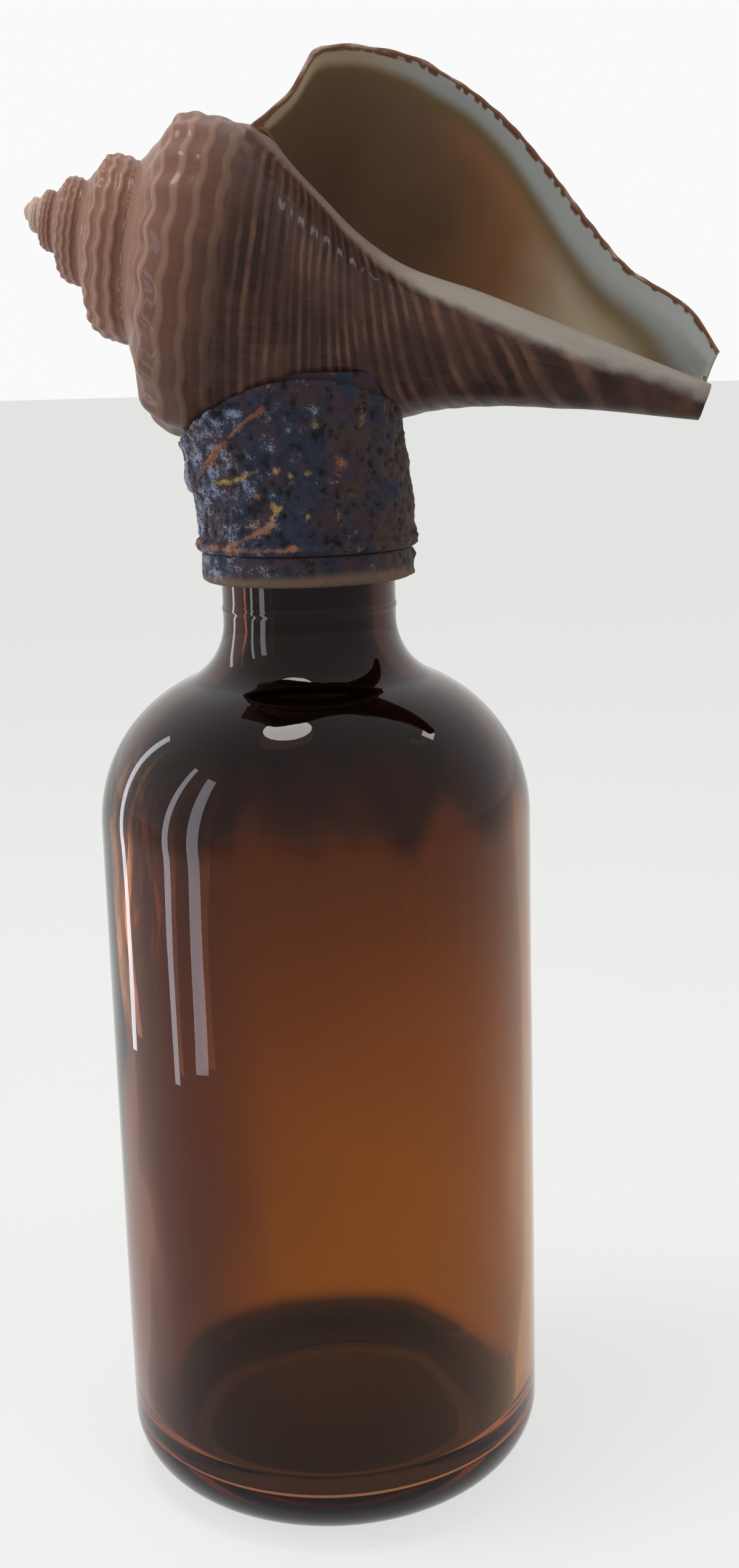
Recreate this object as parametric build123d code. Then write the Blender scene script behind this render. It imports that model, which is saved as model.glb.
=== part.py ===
"""Amber round-shouldered bottle with a screw stopper dressed with a whelk shell.

The bottle is one blown glass piece that stands on a ring round its pushed-up base.
A hard plastic screw cap with a loose cone liner closes the neck. A putty core on the
cap beds the shell inside a stiff collar. A thin sheet is wrapped round cap and collar,
with a rolled hem at its foot and its overlap on the left. The whelk shell is one solid:
its outside follows a spiral from the apex to the lip, and its cavity coils inside it.

Frame: millimetres, +Z up, origin on the bottle's axis in the plane it stands on.
The shell's spire points to -X and its aperture faces -Y.
"""
import os
from math import cos, exp, log, pi, radians, sin, sqrt

from build123d import *

# Bottle
bottle_height = 143.2
body_diameter = 61.5
wall_thickness = 2.6
floor_thickness = 5.0
heel_radius = 9.0
inner_heel_radius = 8.0
foot_ring_width = 3.5
punt_height = 1.6
shoulder_depth = 44.1
shoulder_radius = 22.0

# Bottle neck
neck_diameter = 24.4
bore_diameter = 18.0
neck_fillet = 9.0
inner_neck_fillet = 10.0
lip_rounding = 1.1

# Screw cap
cap_height = 12.7
cap_bead_height = 4.2
cap_bead_diameter = 29.4
cap_skirt_diameter = 28.6
cap_bore_diameter = 26.6
cap_top_thickness = 1.5
cap_edge_rounding = 0.8

# Cone liner, loose in the cap
liner_flange_diameter = 26.0
liner_thickness = 1.1
liner_gap = 0.05
cone_length = 6.0
cone_clearance = 0.35
cone_taper = 1.1
cone_wall = 1.0

# Column under the shell: putty core, stiff collar and outer wrap, leaning as they rise.
# The lean's heights are above the cap's bead, the others above the cap's top.
wrap_thickness = 0.8
collar_thickness = 0.8
layer_fit = 0.02
wrap_radius_low = 15.1
wrap_radius_high = 15.4
wrap_lean = -1.8
lean_start = 6.0
lean_end = 18.0
hem_radius = 1.0
collar_height = 15.3
core_drop = 0.8
wrap_crown_height = 14.5
wrap_crown_radius = 24.0
wrap_crown_middle = 0.7

# Overlap of the wrap: its slanting edge from foot to head, as (x in the wrap's low radii,
# height above the cap's top in crown heights)
flap_thickness = 0.5
flap_edge = [(-0.934, -0.014), (-0.821, 0.269), (-0.603, 0.503), (-0.305, 0.793)]
flap_back = 8.0

# Shell: tilt of its axis, and where the line that its back rests on lies
shell_tilt = 16.9
shell_yaw = 4.0
seat_x = -2.41
seat_height = 4.6

# Shell: its one size, in which its outlines are given as (distance along the axis, radius)
lip_shoulder_radius = 30.0

# Shell: spiral and profile of a whorl
growth_per_turn = 1.738
apex_share = 0.049
whorl_profile = [(0.88, 0.585), (1.01, 0.805), (1.12, 0.99), (1.33, 1.045)]
spire_turns = 6
samples_per_turn = 24

# Shell: the lip's edge, drawn out from the spiral over its last stretch
lip_edge = [(0.893, 0.617), (1.03, 0.807), (1.093, 1.0), (1.34, 1.07), (1.57, 1.073)]
lip_turns = 0.16

# Shell: base of the last whorl at the lip, half a turn back and at the inner lip
lip_profile = [
    (1.883, 0.98), (2.187, 0.813), (2.467, 0.61), (2.683, 0.47), (3.02, 0.363), (3.19, 0.223)]
back_profile = [
    (1.417, 0.733), (1.647, 0.587), (1.867, 0.43), (2.083, 0.327), (2.567, 0.197), (3.19, 0.087)]
inner_profile = [
    (1.083, 0.463), (1.267, 0.353), (1.45, 0.25), (1.633, 0.18), (2.1, 0.14), (3.19, 0.027)]

# Shell: cavity, with its deep end in shoulder radii along the axis
lip_wall = 1.4
shoulder_wall = 1.8
callus_width = 1.5
cavity_least_width = 0.6
cavity_turns = 0.88
cavity_sections = 15
cavity_lead = 1.5
canal_turn = 0.12
canal_overrun = 2.0
cavity_end_share = 1.667
cavity_stations = (0.0, 0.05, 0.12, 0.22, 0.36, 0.5, 0.64, 0.8, 1.0)
canal_hold = (0.0, 0.0, 0.0, 0.3, 0.7, 1.0)

BASE = (Align.CENTER, Align.CENTER, Align.MIN)

shoulder_start = bottle_height - shoulder_depth

level_axis = Vector(cos(radians(shell_yaw)), -sin(radians(shell_yaw)), 0)
axis_direction = level_axis * cos(radians(shell_tilt)) - Vector(0, 0, sin(radians(shell_tilt)))
lip_direction = level_axis * sin(radians(shell_tilt)) + Vector(0, 0, cos(radians(shell_tilt)))
back_direction = Vector(sin(radians(shell_yaw)), cos(radians(shell_yaw)), 0)


def revolved(outline):
    """Turns a closed outline drawn on (radius, height) about the bottle's axis."""
    return revolve(make_face(Plane.XZ * outline), Axis.Z)


def shoulder_arcs(wall_radius, arc_radius, fillet, neck_radius):
    """The convex shoulder arc and the concave neck arc that continues it."""
    centre_x = wall_radius - arc_radius
    fillet_x = neck_radius + fillet
    rise = sqrt((arc_radius + fillet) ** 2 - (fillet_x - centre_x) ** 2)
    centre = Vector(centre_x, shoulder_start)
    fillet_centre = Vector(fillet_x, shoulder_start + rise)
    towards = (fillet_centre - centre).normalized()
    joint = centre + towards * arc_radius
    middle = (towards + Vector(1, 0)).normalized()
    neck_middle = (Vector(-1, 0) - towards).normalized()
    neck_start = fillet_centre + Vector(-fillet, 0)
    shoulder = ThreePointArc((wall_radius, shoulder_start), centre + middle * arc_radius, joint)
    neck = ThreePointArc(joint, fillet_centre + neck_middle * fillet, neck_start)
    return shoulder, neck


def bottle():
    """The glass: wall, pushed-up base with its standing ring, shoulder, neck and lip."""
    radius, inner = body_diameter / 2, body_diameter / 2 - wall_thickness
    neck, bore = neck_diameter / 2, bore_diameter / 2
    ring_outer = radius - heel_radius
    ring_inner = ring_outer - foot_ring_width
    inner_floor = floor_thickness + punt_height
    shoulder, throat = shoulder_arcs(radius, shoulder_radius, neck_fillet, neck)
    inner_shoulder, inner_throat = shoulder_arcs(
        inner, shoulder_radius - wall_thickness, inner_neck_fillet, bore)
    quarter = sin(pi / 4)
    heel = ThreePointArc(
        (ring_outer, 0),
        (ring_outer + heel_radius * quarter, heel_radius * (1 - quarter)),
        (radius, heel_radius))
    inner_corner = inner - inner_heel_radius
    inner_heel = ThreePointArc(
        (inner, floor_thickness + inner_heel_radius),
        (inner_corner + inner_heel_radius * quarter,
         floor_thickness + inner_heel_radius * (1 - quarter)),
        (inner_corner, floor_thickness))
    outline = Curve() + [
        TangentArc((0, punt_height), (ring_inner, 0), tangent=(1, 0)),
        Line((ring_inner, 0), (ring_outer, 0)),
        heel,
        Line((radius, heel_radius), (radius, shoulder_start)),
        shoulder,
        throat,
        Line(throat @ 1, (neck, bottle_height - lip_rounding)),
        ThreePointArc(
            (neck, bottle_height - lip_rounding),
            (neck - lip_rounding * (1 - quarter), bottle_height - lip_rounding * (1 - quarter)),
            (neck - lip_rounding, bottle_height)),
        Line((neck - lip_rounding, bottle_height), (bore, bottle_height)),
        Line((bore, bottle_height), inner_throat @ 1),
        inner_throat,
        inner_shoulder,
        Line((inner, shoulder_start), (inner, floor_thickness + inner_heel_radius)),
        inner_heel,
        TangentArc((0, inner_floor), (inner_corner, floor_thickness), tangent=(1, 0)),
        Line((0, inner_floor), (0, punt_height)),
    ]
    return revolved(outline)


def cap_levels():
    """Heights of the cap: skirt bottom, top of its bead, inner top face and outer top face."""
    inner_top = bottle_height + liner_thickness + 2 * liner_gap
    outer_top = inner_top + cap_top_thickness
    bottom = outer_top - cap_height
    return bottom, bottom + cap_bead_height, inner_top, outer_top


def screw_cap():
    """The hard cap: a cup with a smooth bead round the foot of its skirt."""
    bottom, bead_top, inner_top, outer_top = cap_levels()
    bead, skirt, bore = cap_bead_diameter / 2, cap_skirt_diameter / 2, cap_bore_diameter / 2
    cup = Pos(0, 0, bottom) * Cylinder(bead, bead_top - bottom, align=BASE)
    cup = fillet(cup.edges().group_by(Axis.Z)[0], cap_edge_rounding)
    cup += Pos(0, 0, bead_top) * Cylinder(skirt, outer_top - bead_top, align=BASE)
    return cup - Pos(0, 0, bottom) * Cylinder(bore, inner_top - bottom, align=BASE)


def cone_liner():
    """The liner: a flange that rests on the lip and a hollow cone that enters the bore."""
    seat = bottle_height + liner_gap
    wide = bore_diameter / 2 - cone_clearance
    narrow = wide - cone_taper
    liner = Pos(0, 0, seat) * Cylinder(liner_flange_diameter / 2, liner_thickness, align=BASE)
    cone = Pos(0, 0, seat - cone_length) * Cone(narrow, wide, cone_length, align=BASE)
    hollow = Pos(0, 0, seat - cone_length) * Cone(
        narrow - cone_wall, wide - cone_wall, cone_length, align=BASE)
    return liner + (cone - hollow)


def column(start, outset=0.0, stop=None):
    """The round leaning column that the wrap's outer face follows, set out by a distance."""
    _, bead_top, _, top = cap_levels()
    stop = stop or top + collar_height + wrap_crown_height
    levels = [start, bead_top + lean_start, bead_top + lean_end, stop]
    sections = []
    for level in [start] + [z for z in levels if z > start]:
        share = min(1.0, max(0.0, (level - bead_top - lean_start) / (lean_end - lean_start)))
        radius = wrap_radius_low + (wrap_radius_high - wrap_radius_low) * share + outset
        sections.append(Plane.XY.offset(level) * Pos(wrap_lean * share, 0, 0) * Circle(radius))
    return loft(sections, ruled=True)


def clay_core(shell):
    """The putty on the cap's top, shaped to the underside of the shell."""
    outset = -wrap_thickness - collar_thickness - layer_fit
    top = cap_levels()[3]
    return column(top + layer_fit, outset, top + collar_height - core_drop) - shell


def inner_collar(shell):
    """The stiff strip round the putty; its level top edge shows where the shell is narrow."""
    top = cap_levels()[3]
    foot = top + layer_fit
    ring = column(foot, -wrap_thickness, top + collar_height)
    return ring - column(foot, -wrap_thickness - collar_thickness) - shell


def wrap_crown():
    """The bar whose round top gives the wrap its arched upper edge."""
    crown = cap_levels()[3] + wrap_crown_height
    centre = Pos(wrap_crown_middle, 0, crown - wrap_crown_radius)
    return centre * Rot(90, 0, 0) * Cylinder(wrap_crown_radius, 4 * wrap_radius_high)


def wrap_sheet(shell):
    """The outer sheet with its rolled hem on the cap's bead and its arched top edge."""
    _, bead_top, _, top = cap_levels()
    foot = bead_top + layer_fit
    hem = Pos(0, 0, foot + hem_radius) * Torus(wrap_radius_low - hem_radius / 2, hem_radius)
    skirt = cap_skirt_diameter / 2 + layer_fit
    below = Pos(0, 0, foot - 2 * hem_radius) * Cylinder(
        skirt, top + layer_fit - foot + 2 * hem_radius, align=BASE)
    sheet = column(foot) + hem - below - column(top, -wrap_thickness + layer_fit)
    return (sheet & wrap_crown()) - shell


def wrap_flap(shell):
    """The overlap of the sheet: a second layer on its left side with a slanting edge."""
    top = cap_levels()[3]
    edge = [(x * wrap_radius_low, top + z * wrap_crown_height) for x, z in flap_edge]
    (_, foot), (right, _) = edge[0], edge[-1]
    left, head = -2 * wrap_radius_high, top + 2 * wrap_crown_height
    layer = column(foot, flap_thickness + layer_fit) - column(foot - flap_thickness, layer_fit)
    outline = Polyline(*edge, (right, head), (left, head), (left, foot), close=True)
    side = extrude(make_face(Plane.XZ.offset(-flap_back) * outline), 2 * wrap_radius_high)
    return (layer & side & wrap_crown()) - shell


def sized(points):
    """Points of an outline given in shoulder radii, in millimetres."""
    return [(along * lip_shoulder_radius, radius * lip_shoulder_radius) for along, radius in points]


lip_points, back_points, inner_points = map(sized, (lip_profile, back_profile, inner_profile))
edge_points = sized(lip_edge)
apex_offset = apex_share * lip_shoulder_radius
canal_tip = lip_points[-1][0]
seat_along, seat_radius = back_points[0]
seat = Vector(seat_x, 0, cap_levels()[3] + seat_height)
apex = seat - axis_direction * seat_along + lip_direction * seat_radius


def shell_point(along, radius, turn):
    """A point of the shell: distance along its axis, radius, and turns back from the lip."""
    angle = 2 * pi * turn
    across = lip_direction * cos(angle) * radius + back_direction * sin(angle) * radius
    return apex + axis_direction * along + across


def spiral_line(station, lip_point):
    """A line that grows by one ratio each turn and is drawn to its own point at the lip."""
    def at(turn):
        size = lip_shoulder_radius * growth_per_turn ** -turn
        along, radius = size * station[0] - apex_offset, size * station[1]
        drawn = max(0.0, 1 - abs(turn) / lip_turns) ** 2
        return along + (lip_point[0] - along) * drawn, radius + (lip_point[1] - radius) * drawn
    return at


def base_line(index):
    """A line of the last whorl's base, carried smoothly through its three profiles."""
    stations = [points[index] for points in (lip_points, back_points, inner_points)]

    def at(turn):
        weights = (2 * (turn - 0.5) * (turn - 1), 4 * turn * (1 - turn), 2 * turn * (turn - 0.5))
        along = sum(w * s[0] for w, s in zip(weights, stations))
        radius = exp(sum(w * log(s[1]) for w, s in zip(weights, stations)))
        return along, radius
    return at


whorl_lines = [spiral_line(*pair) for pair in zip(whorl_profile, edge_points)]
upper_suture = whorl_lines[0]
next_turn = [growth_per_turn * share for share in whorl_profile[0]]
wall_foot = spiral_line(next_turn, edge_points[-1])


def lower_suture(turn):
    """The upper suture of the turn below, or the foot of the last whorl's wall near the lip."""
    return wall_foot(turn) if turn < 0.5 else upper_suture(turn - 1)


whorl_lines.append(lower_suture)
first_suture = spire_turns - 1


def apex_ring(turn):
    """The circle that the spiral starts from."""
    return upper_suture(first_suture)


def narrowed(line):
    """The same line drawn to the apex ring over the spiral's first turn."""
    def at(turn):
        share = 1 - (turn - first_suture)
        share = share * share * (3 - 2 * share)
        return tuple(r + (o - r) * share for r, o in zip(apex_ring(turn), line(turn)))
    return at


def turn_edge(line, first_turn):
    """One full turn of a line as an edge, from a whole number of turns back."""
    turns = [first_turn + i / samples_per_turn for i in range(samples_per_turn + 1)]
    return Edge.make_spline([shell_point(*line(t), t) for t in turns])


def filled_shell():
    """The shell as a closed solid: ruled bands between its spiral lines, turn by turn."""
    bands = []
    upper = turn_edge(upper_suture, 0)
    for turn in range(spire_turns):
        last = turn == spire_turns - 1
        lines = [narrowed(line) for line in whorl_lines] if last else list(whorl_lines)
        below = upper if turn else turn_edge(lower_suture, 0)
        if turn:
            upper = turn_edge(apex_ring if last else upper_suture, turn)
        edges = [upper] + [turn_edge(line, turn) for line in lines[1:-1]] + [below]
        if turn == 0:
            edges += [turn_edge(base_line(i), 0) for i in range(len(lip_points))]
        bands += [Face.make_surface_from_curves(a, b) for a, b in zip(edges, edges[1:])]
        if turn == 0:
            tip = edges[-1]
            bands.append(Face(Wire([tip, Edge.make_line(tip @ 1, tip @ 0)])))
    bands.append(Face(Wire([upper])))
    rim = [line(0) for line in whorl_lines] + lip_points + inner_points[::-1]
    bands.append(Face(Wire.make_polygon([shell_point(*point, 0) for point in rim], close=True)))
    return Solid(Shell(bands))


def along_line(points, along):
    """The radius that a list of (along, radius) points has at a distance along the axis."""
    for (a0, r0), (a1, r1) in zip(points, points[1:]):
        if along <= a1:
            return r0 + (r1 - r0) * max(0.0, along - a0) / (a1 - a0)
    return points[-1][1]


def cavity_section(turn):
    """The cavity's closed outline in the half-plane a number of turns back from the lip."""
    scale = growth_per_turn ** -turn
    outer = [line(turn) for line in whorl_lines]
    outer += [base_line(i)(turn) for i in range(len(lip_points))]
    inner = [upper_suture(turn)]
    for (along, radius), hold in zip(inner_points, canal_hold):
        factor = scale + (1 - scale) * hold
        inner.append(((along + apex_offset) * factor - apex_offset, radius * factor))
    past = max(0.0, turn - canal_turn) / (cavity_turns - canal_turn)
    start = outer[0][0] + shoulder_wall
    end = canal_tip + canal_overrun
    end -= past * (end - cavity_end_share * lip_shoulder_radius)
    wall_points, pillar_points = [], []
    for share in cavity_stations:
        along = start + (end - start) * share
        pillar = along_line(inner, along) + callus_width
        wall = max(along_line(outer, along) - lip_wall, pillar + cavity_least_width)
        pillar_points.append(shell_point(along, pillar, turn))
        wall_points.append(shell_point(along, wall, turn))
    return Wire.make_polygon(wall_points + pillar_points[::-1], close=True)


def whelk_shell(filled):
    """The shell with its spiral cavity, open at the aperture and along the canal."""
    step = cavity_turns / cavity_sections
    mouth = cavity_section(0).moved(Location(-back_direction * cavity_lead))
    sections = [mouth] + [cavity_section((i + 1) * step) for i in range(cavity_sections)]
    return filled - Solid.make_loft(sections)


def main():
    """Builds each piece and writes it as a STEP file."""
    filled = filled_shell()
    pieces = {
        "bottle": bottle(),
        "cone_liner": cone_liner(),
        "screw_cap": screw_cap(),
        "clay_core": clay_core(filled),
        "inner_collar": inner_collar(filled),
        "wrap_sheet": wrap_sheet(filled),
        "wrap_flap": wrap_flap(filled),
        "whelk_shell": whelk_shell(filled),
    }
    os.makedirs("parts", exist_ok=True)
    for name, piece in pieces.items():
        print(f"{name}: {piece.volume / 1000:.2f} cm3")
        export_step(piece, f"parts/{name}.step")


if __name__ == "__main__":
    main()
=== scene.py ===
"""Looks of the amber bottle and its whelk-shell stopper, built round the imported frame.

Shapes are surfaces worked out on numpy grids in millimetres, in the frame of the part:
+Z up, the bottle's axis at X = Y = 0, its foot at Z = 0, the shell's mouth towards -Y.
Angles round the bottle are measured from the front (-Y), positive towards +X.
"""

import logging
from dataclasses import dataclass
from enum import Enum

import bmesh
import bpy
import numpy as np
from mathutils import Matrix, Vector
from mathutils.bvhtree import BVHTree

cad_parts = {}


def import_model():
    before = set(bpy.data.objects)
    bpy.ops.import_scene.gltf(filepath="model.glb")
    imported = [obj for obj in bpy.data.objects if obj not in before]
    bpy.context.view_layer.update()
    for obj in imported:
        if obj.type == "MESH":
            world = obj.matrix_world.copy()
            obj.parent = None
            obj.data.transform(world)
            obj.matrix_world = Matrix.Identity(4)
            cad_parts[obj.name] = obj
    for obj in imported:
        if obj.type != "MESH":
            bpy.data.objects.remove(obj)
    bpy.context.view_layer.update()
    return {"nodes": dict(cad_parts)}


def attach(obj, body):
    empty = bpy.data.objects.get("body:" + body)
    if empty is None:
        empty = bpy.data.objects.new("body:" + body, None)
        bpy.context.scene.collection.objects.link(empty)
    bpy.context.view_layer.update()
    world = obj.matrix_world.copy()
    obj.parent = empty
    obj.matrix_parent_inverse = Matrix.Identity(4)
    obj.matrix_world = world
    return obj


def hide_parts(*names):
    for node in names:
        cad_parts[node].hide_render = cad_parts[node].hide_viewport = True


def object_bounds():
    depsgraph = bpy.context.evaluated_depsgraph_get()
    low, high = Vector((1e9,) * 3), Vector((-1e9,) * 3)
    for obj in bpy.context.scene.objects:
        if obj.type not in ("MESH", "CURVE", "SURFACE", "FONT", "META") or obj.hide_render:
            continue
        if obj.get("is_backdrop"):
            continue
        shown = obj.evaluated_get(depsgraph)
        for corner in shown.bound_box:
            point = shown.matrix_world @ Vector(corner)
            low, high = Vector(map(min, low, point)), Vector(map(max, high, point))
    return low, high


# Metres in a millimetre, and how close two points are sewn into one, in metres
MM = 0.001
WELD = 1e-6

# Light of a window, a little blue
COOL = (0.84, 0.9, 1.0)

Colour = tuple[float, float, float, float]
Pair = tuple[float, float]
Outline = tuple[Pair, ...]
Array = np.ndarray
log = logging.getLogger("scene")


def tint(red: int, green: int, blue: int) -> Colour:
    """A screen colour, 0 to 255 a channel, as the linear colour that a shader takes."""
    channels = np.array([red, green, blue]) / 255
    linear = np.where(channels <= 0.04045, channels / 12.92, ((channels + 0.055) / 1.055) ** 2.4)
    return (*linear.tolist(), 1.0)


def smooth_step(values: Array, low: float, high: float) -> Array:
    """0 below low, 1 above high and a smooth cubic between them."""
    share = np.clip((np.asarray(values, float) - low) / (high - low), 0, 1)
    return share * share * (3 - 2 * share)


def bell(values: Array, width: float) -> Array:
    """A bump of height 1 at 0 that falls off as exp(-(x / width)^2)."""
    return np.exp(-(np.asarray(values, float) / width) ** 2)


@dataclass(frozen=True)
class Grain:
    """Smooth random relief that is the same on every run.

    A lattice of random numbers from -1 to 1 is blended between its points with the
    smooth cubic of smooth_step, and octaves of half the cell and half the height add up.
    """

    seed: int
    cell: float
    octaves: int = 1

    def at(self, points: Array) -> Array:
        """The relief at points.

        Args:
            points: An array whose last axis is x, y, z in millimetres.

        Returns:
            Numbers of about -1 to 1, one for each point.
        """
        table = np.random.default_rng(self.seed).uniform(-1, 1, (32, 32, 32))
        total = np.zeros(points.shape[:-1])
        for octave in range(self.octaves):
            scaled = points / self.cell * 2 ** octave + 7.3 * octave
            whole = np.floor(scaled).astype(int)
            part = scaled - whole
            part = part * part * (3 - 2 * part)
            for corner in np.ndindex(2, 2, 2):
                weight = np.prod(np.where(corner, part, 1 - part), -1)
                cell = (whole + corner) % 32
                total += weight * table[cell[..., 0], cell[..., 1], cell[..., 2]] / 2 ** octave
        return total


@dataclass
class Patch:
    """A grid of points in millimetres, rows by columns, and numbers marked on it."""

    points: Array
    marks: dict[str, Array]

    def mark(self, name: str) -> Array:
        """The numbers of that name, or zeros where the patch has none."""
        return np.broadcast_to(self.marks.get(name, 0.0), self.points.shape[:2]).astype(np.float32)


def sewn(name: str, patches: list[Patch], closed: bool = True) -> bpy.types.Object:
    """Joins patches into one mesh whose faces point outwards.

    Every square of four grid points is a face, points closer than WELD become one,
    and an opening that is left is filled where the piece is closed.

    Args:
        name: The piece's name.
        patches: The grids; edges that meet hold the same points.
        closed: Whether left openings are filled.

    Returns:
        The object, at the origin, with one float attribute for each mark.
    """
    faces, start = [], 0
    for patch in patches:
        rows, columns = patch.points.shape[:2]
        index = start + np.arange(rows * columns).reshape(rows, columns)
        corners = (index[:-1, :-1], index[:-1, 1:], index[1:, 1:], index[1:, :-1])
        faces.append(np.stack(corners, -1).reshape(-1, 4))
        start += rows * columns
    quads = np.concatenate(faces)
    mesh = bpy.data.meshes.new(name)
    mesh.vertices.add(start)
    mesh.vertices.foreach_set(
        "co", np.concatenate([p.points.reshape(-1) for p in patches]).astype(np.float32) * MM)
    mesh.loops.add(quads.size)
    mesh.loops.foreach_set("vertex_index", quads.reshape(-1).astype(np.int32))
    mesh.polygons.add(len(quads))
    mesh.polygons.foreach_set("loop_start", np.arange(0, quads.size, 4, dtype=np.int32))
    for mark in sorted({key for patch in patches for key in patch.marks}):
        layer = mesh.attributes.new(mark, "FLOAT", "POINT")
        layer.data.foreach_set("value", np.concatenate([p.mark(mark).reshape(-1) for p in patches]))
    mesh.update(calc_edges=True)
    shape = bmesh.new()
    shape.from_mesh(mesh)
    bmesh.ops.remove_doubles(shape, verts=shape.verts, dist=WELD)
    bmesh.ops.dissolve_degenerate(shape, edges=shape.edges, dist=WELD)
    if closed:
        filled = bmesh.ops.holes_fill(shape, edges=shape.edges, sides=0)["faces"]
        bmesh.ops.triangulate(shape, faces=filled)
    bmesh.ops.recalc_face_normals(shape, faces=shape.faces)
    shape.to_mesh(mesh)
    shape.free()
    mesh.polygons.foreach_set("use_smooth", np.ones(len(mesh.polygons), bool))
    mesh.update()
    piece = bpy.data.objects.new(name, mesh)
    bpy.context.scene.collection.objects.link(piece)
    return piece


def full_turn(columns: int) -> Array:
    """Evenly spaced angles in radians from the back round to the back again."""
    return np.linspace(-np.pi, np.pi, columns + 1)


def turned(profile: Array, columns: int) -> tuple[Array, Array, Array]:
    """A profile carried round the bottle's axis.

    Args:
        profile: Points (radius, height), one a row.
        columns: Steps in the full turn.

    Returns:
        The radius, the angle from the front and the height on a rows by columns + 1 grid.
    """
    radius, turn = np.meshgrid(profile[:, 0], full_turn(columns), indexing="ij")
    height = np.repeat(profile[:, 1:], columns + 1, axis=1)
    return radius, turn, height


def round_axis(radius: Array, angle: Array, height: Array, centre: Array | float = 0.0) -> Array:
    """Points at a radius and an angle from the front round an upright axis at X = centre."""
    last = np.isclose(angle, np.pi)
    angle = np.where(last, -np.pi, angle)
    return np.stack([centre + radius * np.sin(angle), -radius * np.cos(angle), height], -1)


def arc(centre: Pair, radius: float, start: float, stop: float, count: int) -> Array:
    """Points of an arc about a centre, from one angle in degrees to another."""
    angle = np.radians(np.linspace(start, stop, count))
    return np.stack([centre[0] + radius * np.cos(angle), centre[1] + radius * np.sin(angle)], -1)


def straight(start: Pair, stop: Pair, count: int) -> Array:
    """Evenly spaced points between two points, both ends left out."""
    share = np.linspace(0, 1, count + 2)[1:-1, None]
    return np.array(start) * (1 - share) + np.array(stop) * share


class Value:
    """A number in a shader: arithmetic on it adds Math nodes."""

    def __init__(self, paint: "Paint", socket: bpy.types.NodeSocket) -> None:
        """Wraps a node's output."""
        self.paint, self.socket = paint, socket

    def math(self, operation: str, *operands: "Value | float") -> "Value":
        """One Math node on up to three numbers."""
        node = self.paint.node("ShaderNodeMath", {"operation": operation}, dict(enumerate(operands)))
        return Value(self.paint, node.outputs[0])

    def __add__(self, other: "Value | float") -> "Value":
        """self + other."""
        return self.math("ADD", self, other)

    def __sub__(self, other: "Value | float") -> "Value":
        """self - other."""
        return self.math("SUBTRACT", self, other)

    def __rsub__(self, other: float) -> "Value":
        """other - self."""
        return self.math("SUBTRACT", other, self)

    def __mul__(self, other: "Value | float") -> "Value":
        """self * other."""
        return self.math("MULTIPLY", self, other)

    __radd__, __rmul__ = __add__, __mul__

    def swing(self, size: float) -> "Value":
        """A noise of 0 to 1 as one round 0, size from end to end."""
        return (self - 0.5) * size

    def sine(self) -> "Value":
        """The sine of a number in radians, from -1 to 1."""
        return self.math("SINE", self)

    def larger(self, other: "Value | float") -> "Value":
        """The larger of two numbers."""
        return self.math("MAXIMUM", self, other)

    def step(self, low: float, high: float) -> "Value":
        """0 at low, 1 at high and smooth between; low may be the larger.

        Args:
            low: The number that becomes 0.
            high: The number that becomes 1.

        Returns:
            The share.
        """
        node = self.paint.node(
            "ShaderNodeMapRange", {"interpolation_type": "SMOOTHSTEP"},
            {"Value": self, "From Min": low, "From Max": high})
        return Value(self.paint, node.outputs[0])


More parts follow.
